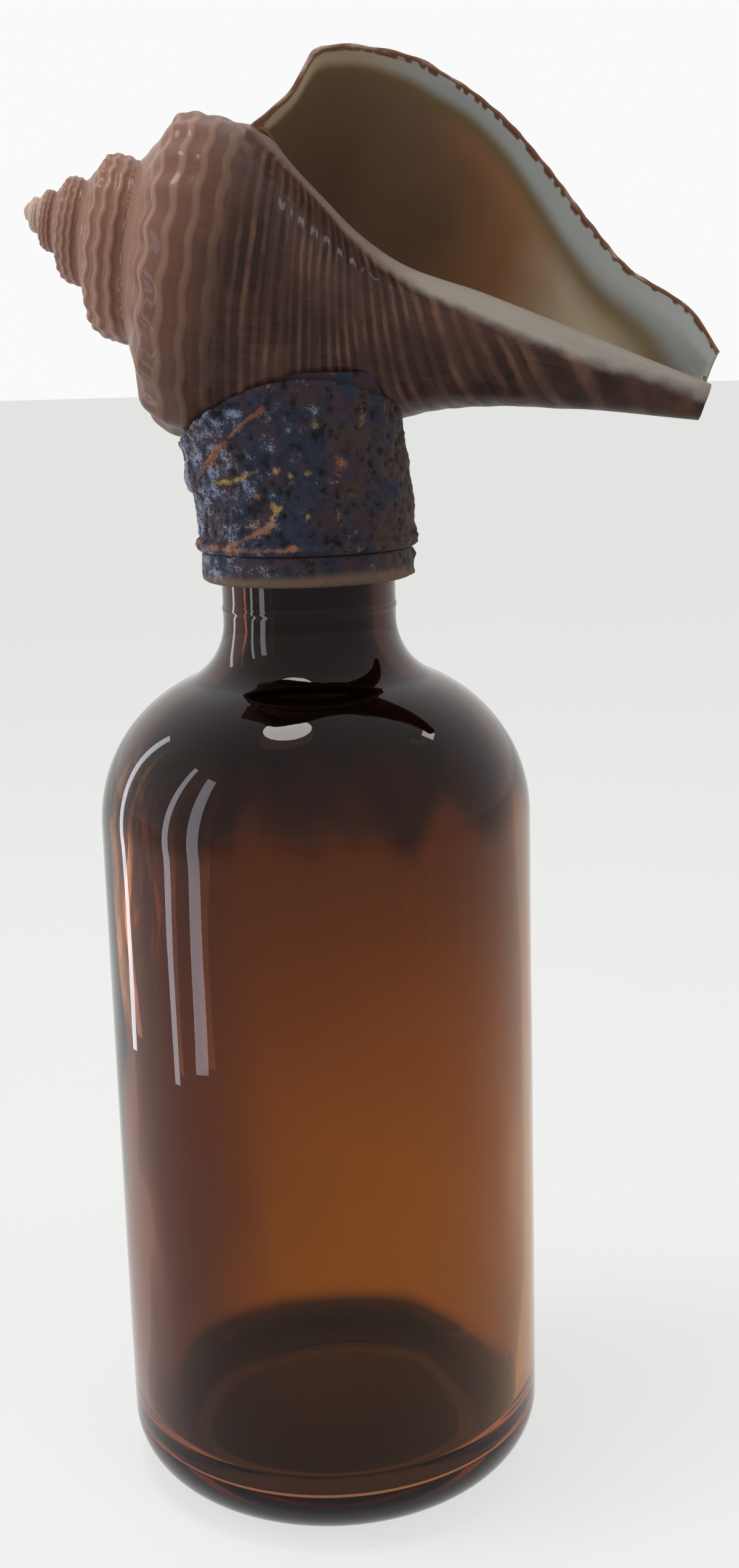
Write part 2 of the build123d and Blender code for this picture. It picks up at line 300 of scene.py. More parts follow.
class Paint:
    """A material that is built from expressions on Value and from colour mixes."""

    def __init__(self, owner: bpy.types.Material | bpy.types.World) -> None:
        """Takes a new material with its Principled shader, or a world with its Background.

        Args:
            owner: The material or world.
        """
        self.owner = owner
        owner.use_nodes = True
        self.tree = owner.node_tree
        kinds = {node.bl_idname: node for node in self.tree.nodes}
        self.shader = kinds.get("ShaderNodeBsdfPrincipled") or kinds["ShaderNodeBackground"]
        self.output = kinds.get("ShaderNodeOutputMaterial") or kinds["ShaderNodeOutputWorld"]
        self.place = self.node("ShaderNodeTexCoord").outputs["Object"]

    def node(
            self, kind: str, settings: dict | None = None, values: dict | None = None
    ) -> bpy.types.Node:
        """Adds a node.

        Args:
            kind: The node's type.
            settings: Its own options, set before its sockets.
            values: A number, colour, Value or socket for each input, by name or place.

        Returns:
            The node.
        """
        made = self.tree.nodes.new(kind)
        for key, value in (settings or {}).items():
            setattr(made, key, value)
        for key, value in (values or {}).items():
            self.feed(made.inputs[key], value)
        return made

    def feed(self, slot: bpy.types.NodeSocket, value: object) -> None:
        """Links a Value or a socket into an input, or sets a constant on it.

        Args:
            slot: The input.
            value: A Value, an output socket, a number or a colour.
        """
        value = value.socket if isinstance(value, Value) else value
        if isinstance(value, bpy.types.NodeSocket):
            self.tree.links.new(value, slot)
        else:
            slot.default_value = value

    def surface(self, **values: object) -> None:
        """Sets the Principled shader's inputs, by name with _ for a blank."""
        for key, value in values.items():
            self.feed(self.shader.inputs[key.replace("_", " ")], value)

    def mark(self, name: str) -> Value:
        """A number that the mesh carries."""
        return Value(self, self.node("ShaderNodeAttribute", {"attribute_name": name}).outputs["Fac"])

    def noise(
            self, cell: float, detail: float = 2.0, stretch: tuple = (1, 1, 1), rough: float = 0.5,
            shift: float = 0.0, place: bpy.types.NodeSocket | None = None) -> Value:
        """Cloudy noise from 0 to 1.

        Args:
            cell: Size of its blotches in millimetres.
            detail: Octaves of finer noise.
            stretch: Factors on the coordinates, above 1 to squeeze an axis.
            rough: Weight of each finer octave.
            shift: Offset that picks another part of the noise, in metres.
            place: Coordinates, or None for the object's own.

        Returns:
            The noise.
        """
        moved = self.node("ShaderNodeMapping", None, {
            "Vector": place or self.place, "Location": (shift,) * 3, "Scale": stretch})
        node = self.node("ShaderNodeTexNoise", None, {
            "Vector": moved.outputs[0], "Scale": 1 / (cell * MM), "Detail": detail, "Roughness": rough})
        return Value(self, node.outputs["Fac"])

    def axes(self) -> list[Value]:
        """X, Y and Z of the object's own coordinates, each as a number."""
        parts = self.node("ShaderNodeSeparateXYZ", None, {0: self.place})
        return [Value(self, socket) for socket in parts.outputs]

    def mix(self, share: "Value | float", first: object, second: object) -> bpy.types.NodeSocket:
        """A colour from first, at share 0, to second, at share 1."""
        node = self.node("ShaderNodeMix", {"data_type": "RGBA"}, {0: share, 6: first, 7: second})
        return node.outputs[2]

    def relief(self, height: Value, depth: float) -> None:
        """Bends the shading normal by a height map, where 1 stands depth millimetres proud."""
        node = self.node("ShaderNodeBump", None, {"Strength": 1.0, "Distance": depth * MM})
        self.feed(node.inputs["Height"], height)
        self.feed(self.shader.inputs["Normal"], node.outputs[0])


@dataclass(frozen=True)
class AmberGlass:
    """Brown container glass with painted light and shade in its colour: a painted glow low and to
    the right, a painted reflection and painted glints on the left, and painted shade at the
    shoulder and the base.

    Each tone comes in between two heights, or places across, in metres, where slow noise
    shifts its edge. Noise cells are in millimetres.
    """

    body: Colour = tint(166, 124, 74)
    # painted light: golden glow low on the body and towards the right
    painted_glow: Colour = tint(190, 148, 70)
    # painted reflection: purplish window tone on the left side
    left: Colour = tint(144, 104, 88)
    # painted shade: dark band round the shoulder and neck
    shade: Colour = tint(66, 42, 30)
    # painted shade at the foot
    base: Colour = tint(24, 17, 13)
    # painted highlight: orange glints streaking the left side
    flare: Colour = tint(255, 186, 96)
    gloss: Colour = tint(165, 160, 160)
    depth_colour: Colour = tint(214, 120, 30)
    density: float = 90.0
    drift_cell: float = 26.0
    ripple_cell: float = 9.0
    streak_cell: float = 5.0
    painted_glow_height: float = 0.075
    painted_glow_edge: Pair = (-0.02, 0.06)
    painted_reflection_edge: Pair = (-0.008, -0.024)
    shade_edge: Pair = (0.098, 0.106)
    upper_shade_edge: Pair = (0.062, 0.1)
    flare_side: Pair = (-0.0085, -0.016)
    flare_grain: Pair = (0.52, 0.6)
    flare_foot: Pair = (0.07, 0.08)
    flare_top: Pair = (0.113, 0.107)
    painted_shade_foot: Pair = (0.0095, 0.006)

    def material(self) -> bpy.types.Material:
        """Refracting glass whose colour holds a painted glow, reflection, glints and shade, and a thin
        amber depth.

        Returns:
            The material.
        """
        paint = Paint(bpy.data.materials.new("amber_glass"))
        across, _, up = paint.axes()
        drift = paint.noise(self.drift_cell, 2, (1, 1, 0.6))
        # painted light: golden glow low on the body and towards the right
        painted_glow = (up * -1 + self.painted_glow_height + drift.swing(0.05) + across * 0.8).step(*self.painted_glow_edge)
        colour = paint.mix(painted_glow, self.body, self.painted_glow)
        # painted reflection of the window on the left side
        colour = paint.mix((across + drift.swing(0.01)).step(*self.painted_reflection_edge), colour, self.left)
        ripple = paint.noise(self.ripple_cell, 2, (1, 1, 0.4), shift=0.4)
        # painted shade at the shoulder, with a wavy lower edge
        colour = paint.mix((up + ripple.swing(0.022)).step(*self.shade_edge), colour, self.shade)
        # more painted shade towards the top
        high = (up + drift.swing(0.03)).step(*self.upper_shade_edge)
        colour = paint.mix(high * 0.3, colour, self.shade)
        # painted highlight: orange glints in streaks up the left side, between foot and shoulder
        streak = paint.noise(self.streak_cell, 3, (1, 1, 0.22), rough=0.6, shift=0.9)
        flare = (across + streak * 0.02).step(*self.flare_side) * streak.step(*self.flare_grain)
        flare = flare * up.step(*self.flare_foot) * up.step(*self.flare_top)
        colour = paint.mix(flare, colour, self.flare)
        # painted shade at the foot
        colour = paint.mix(up.step(*self.painted_shade_foot), colour, self.base)
        paint.surface(
            Base_Color=colour, Roughness=0.0, IOR=1.5, Transmission_Weight=1.0,
            Specular_Tint=self.gloss)
        depth = paint.node("ShaderNodeVolumeAbsorption", None, {
            "Color": self.depth_colour, "Density": self.density})
        paint.tree.links.new(depth.outputs[0], paint.output.inputs["Volume"])
        return paint.owner


class PatinaTone(Enum):
    """Which part of the stopper's dark metallic coat a patina is for."""

    SHEET = "patina_clay"
    BAND = "cap_patina"
    COLLAR = "dark_clay"


@dataclass(frozen=True)
class Patina:
    """Dark clay rubbed with metal powders: blue-grey, purple-brown, copper and gold; the copper
    is partly painted highlight.

    The mesh carries high (its relief, -1 to 1) and copper, gold and tan from 0 to 1.
    Noise cells are in millimetres.
    """

    tone: PatinaTone
    navy: Colour = tint(38, 42, 58)
    plum: Colour = tint(60, 42, 48)
    rust: Colour = tint(66, 48, 40)
    # darkest tone, laid where the relief is low
    pit_dark: Colour = tint(16, 14, 18)
    pearl: Colour = tint(140, 148, 172)
    # copper: part rubbed powder, part painted highlight on the wrap's lit left side
    copper: Colour = tint(160, 104, 72)
    gold: Colour = tint(172, 140, 74)
    tan: Colour = tint(112, 90, 72)
    blotch_cell: float = 4.5
    rust_cell: float = 5.5
    drift_cell: float = 2.4
    speck_cell: float = 0.3
    speck_relief: float = 0.34
    plum_edge: Pair = (0.42, 0.6)
    rust_edge: Pair = (0.55, 0.78)
    pit_dark_edge: Pair = (-0.15, -0.75)
    pearl_edge: Pair = (0.66, 0.88)
    copper_edge: Pair = (0.4, 1.25)
    gold_edge: Pair = (0.45, 1.2)
    powder_share: float = 0.75

    def material(self) -> bpy.types.Material:
        """Noise blends the dark tones, and the mesh's marks place the metal powders.

        Rust grows to the right and the pearly powder to the left.

        Returns:
            The material.
        """
        paint = Paint(bpy.data.materials.new(self.tone.value))
        across = paint.axes()[0]
        blotch = paint.noise(self.blotch_cell, 3, rough=0.6)
        speck = paint.noise(self.speck_cell, 4, rough=0.7, shift=0.3)
        colour = paint.mix(blotch.step(*self.plum_edge), self.navy, self.plum)
        rusty = paint.noise(self.rust_cell, 2, (1, 1, 1.5), shift=0.7) + across * 20
        colour = paint.mix(rusty.step(*self.rust_edge) * 0.8, colour, self.rust)
        high = paint.mark("high")
        # darker where the relief is low
        colour = paint.mix((high + speck.swing(1.6)).step(*self.pit_dark_edge), colour, self.pit_dark)
        drift = paint.noise(self.drift_cell, 2, shift=0.8)
        powder = (high * 0.25 + speck + drift.swing(0.5) - across * 13).step(*self.pearl_edge)
        colour = paint.mix(powder * 0.7, colour, self.pearl)
        colour = paint.mix(paint.mark("tan") * 0.85, colour, self.tan)
        rubbed = (speck + drift * 1.6 - 1.3) * 1.6
        # copper marks are part powder and part painted highlight
        copper = (paint.mark("copper") + rubbed).step(*self.copper_edge)
        colour = paint.mix(copper * self.powder_share, colour, self.copper)
        gold = (paint.mark("gold") + rubbed).step(*self.gold_edge)
        colour = paint.mix(gold * self.powder_share, colour, self.gold)
        bright = powder.larger(copper).larger(gold)
        paint.surface(
            Base_Color=colour, Metallic=0.25 + bright * 0.45, Roughness=0.62 - bright * 0.28,
            Specular_IOR_Level=0.3)
        paint.relief(speck, self.speck_relief)
        return paint.owner


@dataclass(frozen=True)
class ShellFinish:
    """Glossy reddish-brown shell with pale cords, a grey-white glaze and a taupe inside that
    darkens deeper in the mouth, partly as painted shade.

    The mesh carries along (0 at the apex, 1 at the canal's end), cord (across a whorl in
    shoulder radii), turn (back from the lip), ridge (the cords' wave), reach (millimetres
    from the glaze's edge), depth (millimetres into the mouth), and base, inside, pillar
    and rim as 0 or 1. Noise cells are in millimetres.
    """

    brown: Colour = tint(68, 44, 37)
    deep: Colour = tint(40, 25, 22)
    spire: Colour = tint(138, 98, 82)
    cord: Colour = tint(178, 142, 120)
    line: Colour = tint(116, 84, 68)
    # paler shoulder ramp: partly the shell's own colour, partly painted light from above
    ramp: Colour = tint(148, 114, 98)
    tip: Colour = tint(202, 174, 154)
    glaze: Colour = tint(160, 152, 142)
    mauve: Colour = tint(128, 106, 100)
    rim: Colour = tint(112, 74, 54)
    band_cream: Colour = tint(206, 188, 156)
    band_blue: Colour = tint(184, 188, 184)
    # taupe deep in the mouth: partly the shell's own colour, partly painted shade
    taupe: Colour = tint(140, 114, 94)
    olive: Colour = tint(138, 118, 84)
    cream: Colour = tint(184, 136, 98)
    canal: Colour = tint(226, 210, 180)
    cloud_cell: float = 9.0
    grow_cell: float = 9.0
    worn_cell: float = 7.0
    ragged_cell: float = 3.0
    rim_cell: float = 4.0
    dull_cell: float = 2.0
    inner_cell: float = 12.0
    grow_stretch: Pair = (1.3, 0.03)
    grow_relief: float = 0.12
    streak_edge: Pair = (0.6, 1.0)
    spire_edge: Pair = (0.36, 0.14)
    tip_edge: Pair = (0.035, 0.012)
    lit_ramp_edge: Pair = (0.42, 0.22)
    line_rate: float = 95.0
    line_edge: Pair = (-0.2, 1.0)
    worn_edge: Pair = (0.4, 0.7)
    rim_worn: Pair = (0.25, 0.5)
    dull_edge: Pair = (0.3, 0.8)
    cord_edge: Pair = (0.1, 0.9)
    glaze_edge: Pair = (1.2, -1.6)
    mauve_edge: Pair = (0.62, 0.42)
    blue_edge: Pair = (0.36, 0.52)
    cream_edge: Pair = (0.48, 0.68)
    canal_edge: Pair = (0.66, 0.8)
    olive_depth: Pair = (3.6, 7.0)
    shaded_depth: Pair = (5.6, 10.5)
    rim_depth: Pair = (1.9, 0.9)
    rim_along: Pair = (0.56, 0.34)
    pillar_depth: Pair = (1.0, 5.0)

    def outside(self, paint: Paint, grow: Value) -> bpy.types.NodeSocket:
        """Colour of the outer face: cords, growth streaks, ramp, spire and glaze.

        Args:
            paint: The shell's material.
            grow: Noise that is drawn out along the growth lines.

        Returns:
            The colour.
        """
        along, cord, base = paint.mark("along"), paint.mark("cord"), paint.mark("base")
        ridge = paint.mark("ridge").step(*self.cord_edge)
        cloud = paint.noise(self.cloud_cell, 3, rough=0.55)
        spire = along.step(*self.spire_edge)
        colour = paint.mix((cloud + grow * 0.5).step(*self.streak_edge), self.deep, self.brown)
        colour = paint.mix(spire, colour, self.spire)
        fine = (cord * self.line_rate + cloud.swing(5)).sine().step(*self.line_edge)
        worn = paint.noise(self.worn_cell, 3, shift=0.6).step(*self.worn_edge)
        fine = fine * (0.14 + worn * base * 0.5) + ridge * 0.12
        colour = paint.mix(fine * (1 - spire), colour, self.line)
        colour = paint.mix(ridge * spire * 0.55, colour, self.cord)
        # paler shoulder ramp: partly the shell's own colour, partly painted light from above
        ramp = (cord + cloud.swing(0.1)).step(*self.lit_ramp_edge) * (1 - base)
        colour = paint.mix(ramp * 0.7, colour, self.ramp)
        colour = paint.mix(along.step(*self.tip_edge), colour, self.tip)
        ragged = paint.mark("reach") + paint.noise(self.ragged_cell, 3, shift=0.2).swing(2.2)
        mauve = (along + cloud.swing(0.2)).step(*self.mauve_edge)
        glaze = paint.mix(mauve, self.glaze, self.mauve)
        return paint.mix(ragged.step(*self.glaze_edge) * 0.9, colour, glaze)

    def inside(self, paint: Paint) -> bpy.types.NodeSocket:
        """Colour of the mouth: rim, pale band, then taupe, cream and the grey canal.

        Args:
            paint: The shell's material.

        Returns:
            The colour.
        """
        depth = paint.mark("depth")
        shore = paint.mark("along") + paint.noise(self.inner_cell, 2, shift=0.5).swing(0.12)
        deep = paint.mix(shore.step(*self.cream_edge), self.taupe, self.cream)
        deep = paint.mix(shore.step(*self.canal_edge), deep, self.canal)
        band = paint.mix(shore.step(*self.blue_edge), self.band_cream, self.band_blue)
        # olive, then taupe, deeper in the mouth: partly painted shade
        colour = paint.mix(depth.step(*self.olive_depth), band, self.olive)
        colour = paint.mix(depth.step(*self.shaded_depth), colour, deep)
        edge = (depth + paint.noise(self.ragged_cell, 3, shift=0.45).swing(2.5)).step(*self.rim_depth)
        edge = edge * paint.mark("along").step(*self.rim_along)
        colour = paint.mix(edge * 0.85, colour, self.rim)
        # the pillar's glaze gives way to the taupe deeper in: partly painted shade
        pillar = paint.mix(depth.step(*self.pillar_depth), self.glaze, deep)
        return paint.mix(paint.mark("pillar"), colour, pillar)

    def material(self) -> bpy.types.Material:
        """The outer face's colour and the mouth's, with growth lines in the relief.

        Returns:
            The material.
        """
        paint = Paint(bpy.data.materials.new("shell"))
        across, along = self.grow_stretch
        sheet = paint.node("ShaderNodeCombineXYZ", None, {
            0: paint.mark("turn") * across, 1: paint.mark("cord") * along, 2: 0.0})
        grow = paint.noise(self.grow_cell, 4, rough=0.7, place=sheet.outputs[0])
        colour = paint.mix(paint.mark("inside"), self.outside(paint, grow), self.inside(paint))
        worn = paint.noise(self.rim_cell, shift=0.9).step(*self.rim_worn)
        colour = paint.mix(paint.mark("rim") * worn, colour, self.rim)
        dull = paint.noise(self.dull_cell).step(*self.dull_edge)
        paint.surface(
            Base_Color=colour, Roughness=0.34 + dull * 0.16,
            Coat_Weight=0.15, Coat_Roughness=0.1, Specular_IOR_Level=0.06)
        paint.relief(grow * (1 - paint.mark("inside")), self.grow_relief)
        return paint.owner


@dataclass(frozen=True)
class PlainFinish:
    """A plastic or clay with faint mottling and a fine grain."""

    name: str
    light: Colour
    dark: Colour
    roughness: float
    grain: float
    mottle: float = 5.0
    grain_share: float = 0.25

    def material(self) -> bpy.types.Material:
        """Two near colours blended by noise over a bumped surface.

        Returns:
            The material.
        """
        paint = Paint(bpy.data.materials.new(self.name))
        mottle = paint.noise(self.mottle, 3)
        paint.surface(
            Base_Color=paint.mix(mottle, self.light, self.dark),
            Roughness=self.roughness + mottle * 0.1)
        paint.relief(paint.noise(self.grain, 3, shift=0.1), self.grain * self.grain_share)
        return paint.owner


LINER_WHITE = PlainFinish("liner_white", tint(236, 234, 228), tint(226, 222, 214), 0.4, 0.6)
PUTTY = PlainFinish("putty", tint(150, 140, 128), tint(128, 118, 106), 0.7, 0.8)


@dataclass
class Bottle:
    """The blown bottle: pushed-up base, thick floor, round shoulder, threaded neck.

    Sizes are radii, heights and depths in millimetres. The ripples are on the outer face
    and the waves on the inner one, each squeezed in height by its stretch.
    """

    height: float = 143.2
    radius: float = 30.75
    wall: float = 2.6
    floor: float = 5.0
    heel: float = 9.0
    inner_heel: float = 8.0
    ring: float = 3.5
    punt: float = 1.6
    shoulder_start: float = 99.1
    shoulder: float = 22.0
    neck: float = 12.2
    bore: float = 9.0
    neck_fillet: float = 9.0
    inner_neck_fillet: float = 10.0
    rounding: float = 1.1
    bore_rounding: float = 0.5
    foot_rounding: float = 0.6
    bead_height: float = 129.3
    thread_start: float = 136.6
    thread_pitch: float = 4.2
    thread_turns: float = 1.25
    thread_depth: float = 0.7
    thread_width: float = 0.75
    thread_fade: float = 0.12
    bead_swell: float = 0.14
    bead_width: float = 0.45
    ripple: float = 0.07
    ripple_grain: Grain = Grain(12, 11.0, 2)
    ripple_stretch: float = 0.4
    ripple_foot: Pair = (4.0, 14.0)
    ripple_radius: Pair = (9.0, 14.0)
    wave: float = 0.28
    wave_grain: Grain = Grain(11, 13.0, 2)
    wave_stretch: float = 0.35
    wave_foot: Pair = (8.0, 24.0)
    wave_top: Pair = (-126.0, -112.0)
    columns: int = 168

    def throat(self, wall: float, arc_radius: float, fillet: float, neck: float) -> Array:
        """The shoulder arc and the neck arc that continues it, bottom to top.

        The arcs meet where the line between their middles crosses them.

        Args:
            wall: Radius of the body's wall.
            arc_radius: Radius of the shoulder's arc.
            fillet: Radius of the arc into the neck.
            neck: Radius of the neck.

        Returns:
            Points (radius, height), one a row.
        """
        centre, fillet_x = wall - arc_radius, neck + fillet
        run = fillet_x - centre
        rise = np.sqrt((arc_radius + fillet) ** 2 - run ** 2)
        meet = np.degrees(np.arctan2(rise, run))
        lower = arc((centre, self.shoulder_start), arc_radius, 0, meet, 40)
        upper = arc((fillet_x, self.shoulder_start + rise), fillet, 180 + meet, 180, 22)
        return np.concatenate([lower, upper[1:]])

    def outer(self) -> Array:
        """Profile of the outer face, from the middle of the base up to the lip's top.

        Returns:
            Points (radius, height), one a row.
        """
        ring_out = self.radius - self.heel
        ring_in = ring_out - self.ring
        across = np.linspace(0, ring_in - 0.8, 16)
        small, top = self.foot_rounding, self.height - self.rounding
        push_up = np.stack([across, self.punt * (1 - (across / ring_in) ** 2)], -1)
        foot = arc((ring_in + small, small), small, 235, 270, 5)
        heel = arc((ring_out, self.heel), self.heel, 270, 360, 28)
        wall = straight((self.radius, self.heel), (self.radius, self.shoulder_start), 60)
        throat = self.throat(self.radius, self.shoulder, self.neck_fillet, self.neck)
        neck = straight(tuple(throat[-1]), (self.neck, top), 90)
        lip = arc((self.neck - self.rounding, top), self.rounding, 0, 90, 8)
        return np.concatenate([push_up, foot, heel, wall, throat, neck, lip])

    def inner(self) -> Array:
        """Profile of the inside, from the lip's top down to the middle of the floor.

        Returns:
            Points (radius, height), one a row.
        """
        small, top = self.bore_rounding, self.height - self.bore_rounding
        edge = arc((self.bore + small, top), small, 90, 180, 5)
        throat = self.throat(
            self.radius - self.wall, self.shoulder - self.wall, self.inner_neck_fillet, self.bore)
        corner = self.radius - self.wall - self.inner_heel
        heel = arc((corner, self.floor + self.inner_heel), self.inner_heel, 0, -90, 24)
        wall = straight((self.radius - self.wall, self.shoulder_start), tuple(heel[0]), 60)
        neck = straight((self.bore, top), tuple(throat[-1]), 14)
        across = np.linspace(corner, 0, 18)[1:]
        dome = np.stack([across, self.floor + self.punt * (1 - (across / corner) ** 2)], -1)
        return np.concatenate([edge, neck, throat[::-1], wall, heel, dome])

    def threads(self, angle: Array, height: Array) -> Array:
        """Outward swell of the neck: one helical ridge and a faint bead below it.

        The ridge climbs one pitch a turn and fades in and out over its first and last
        eighth of a turn.

        Args:
            angle: Angle from the front in radians.
            height: Height in millimetres.

        Returns:
            The swell in millimetres.
        """
        pitch, fade = self.thread_pitch, self.thread_fade
        swell = self.bead_swell * bell(height - self.bead_height, self.bead_width)
        for turn in range(2):
            travelled = turn + (angle + np.pi) / (2 * np.pi)
            crest = self.thread_start + pitch * travelled - pitch / 2
            ends = smooth_step(travelled, 0, fade)
            ends = ends * smooth_step(-travelled, -self.thread_turns, fade - self.thread_turns)
            swell = swell + self.thread_depth * ends * bell(height - crest, self.thread_width) ** 2
        return swell

    def on_wall(self, height: Array, foot: Pair) -> Array:
        """1 on the body's wall, fading out over the heights at its foot and in the shoulder."""
        return smooth_step(height, *foot) * smooth_step(-height, *self.wave_top)

    def build(self) -> bpy.types.Object:
        """Turns the two profiles, with threads outside and slow waves of both faces.

        Returns:
            The glass.
        """
        radius, angle, height = turned(self.outer(), self.columns)
        neck = (height > self.bead_height - 3) & (height < self.height - self.rounding)
        calm = self.on_wall(height, self.ripple_foot) * smooth_step(radius, *self.ripple_radius)
        flat = round_axis(radius, angle, height) * np.array([1.0, 1.0, self.ripple_stretch])
        ripples = self.ripple * calm * self.ripple_grain.at(flat)
        threads = np.where(neck, self.threads(angle, height), 0)
        outside = round_axis(radius + ripples + threads, angle, height)
        radius, angle, height = turned(self.inner(), self.columns)
        flat = round_axis(radius, angle, height) * np.array([1.0, 1.0, self.wave_stretch])
        waves = self.wave * self.on_wall(height, self.wave_foot) * self.wave_grain.at(flat)
        inside = round_axis(radius + waves, angle, height)
        bridge = Patch(np.stack([outside[-1], inside[0]]), {})
        glass = sewn("bottle_glass", [Patch(outside, {}), bridge, Patch(inside, {})])
        glass.data.materials.append(AmberGlass().material())
        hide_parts("bottle")
        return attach(glass, "bottle")


@dataclass
class Column:
    """The leaning column between cap and shell that its layers are measured from."""

    low: float = 15.1
    high: float = 15.4
    lean: float = -1.8
    lean_from: float = 143.4
    lean_to: float = 155.4
    crown_top: float = 160.4
    crown_radius: float = 24.0
    crown_middle: float = 0.7
    sunk: float = 0.45

    def share(self, height: Array) -> Array:
        """How far the column has leaned at a height, 0 to 1."""
        return np.clip((height - self.lean_from) / (self.lean_to - self.lean_from), 0, 1)

    def centre(self, height: Array) -> Array:
        """X of the column's middle at a height."""
        return self.lean * self.share(height)

    def radius(self, height: Array) -> Array:
        """The column's outer radius at a height."""
        return self.low + (self.high - self.low) * self.share(height)

    def crown(self, across: Array) -> Array:
        """Height of the wrap's arched upper edge at X = across."""
        reach = np.clip(self.crown_radius ** 2 - (across - self.crown_middle) ** 2, 0, None)
        return self.crown_top - self.crown_radius + np.sqrt(reach)

    def under_shell(self, shell: BVHTree, angle: Array, inset: float, limit: float) -> Array:
        """Height at which the column, made thinner by inset, meets the shell's underside.

        A line straight up from each angle's foot finds the shell; where it passes the shell
        by, the limit holds. The heights are then averaged with their neighbours.

        Args:
            shell: The shell's mesh.
            angle: Angles from the front in radians, both ends of a full turn included.
            inset: How much thinner than its outside the column is taken.
            limit: Greatest height.

        Returns:
            A height for each angle.
        """
        tops = []
        for turn in angle:
            around = self.high - inset
            x, y = self.lean + around * np.sin(turn), -around * np.cos(turn)
            met = shell.ray_cast(Vector((x, y, self.lean_from)) * MM, Vector((0, 0, 1)))[0]
            tops.append(min(limit, met.z / MM + self.sunk) if met else limit)
        tops = np.array(tops[:-1])
        kernel = (np.roll(tops, 1) + 2 * tops + np.roll(tops, -1)) / 4
        return np.append(kernel, kernel[0])


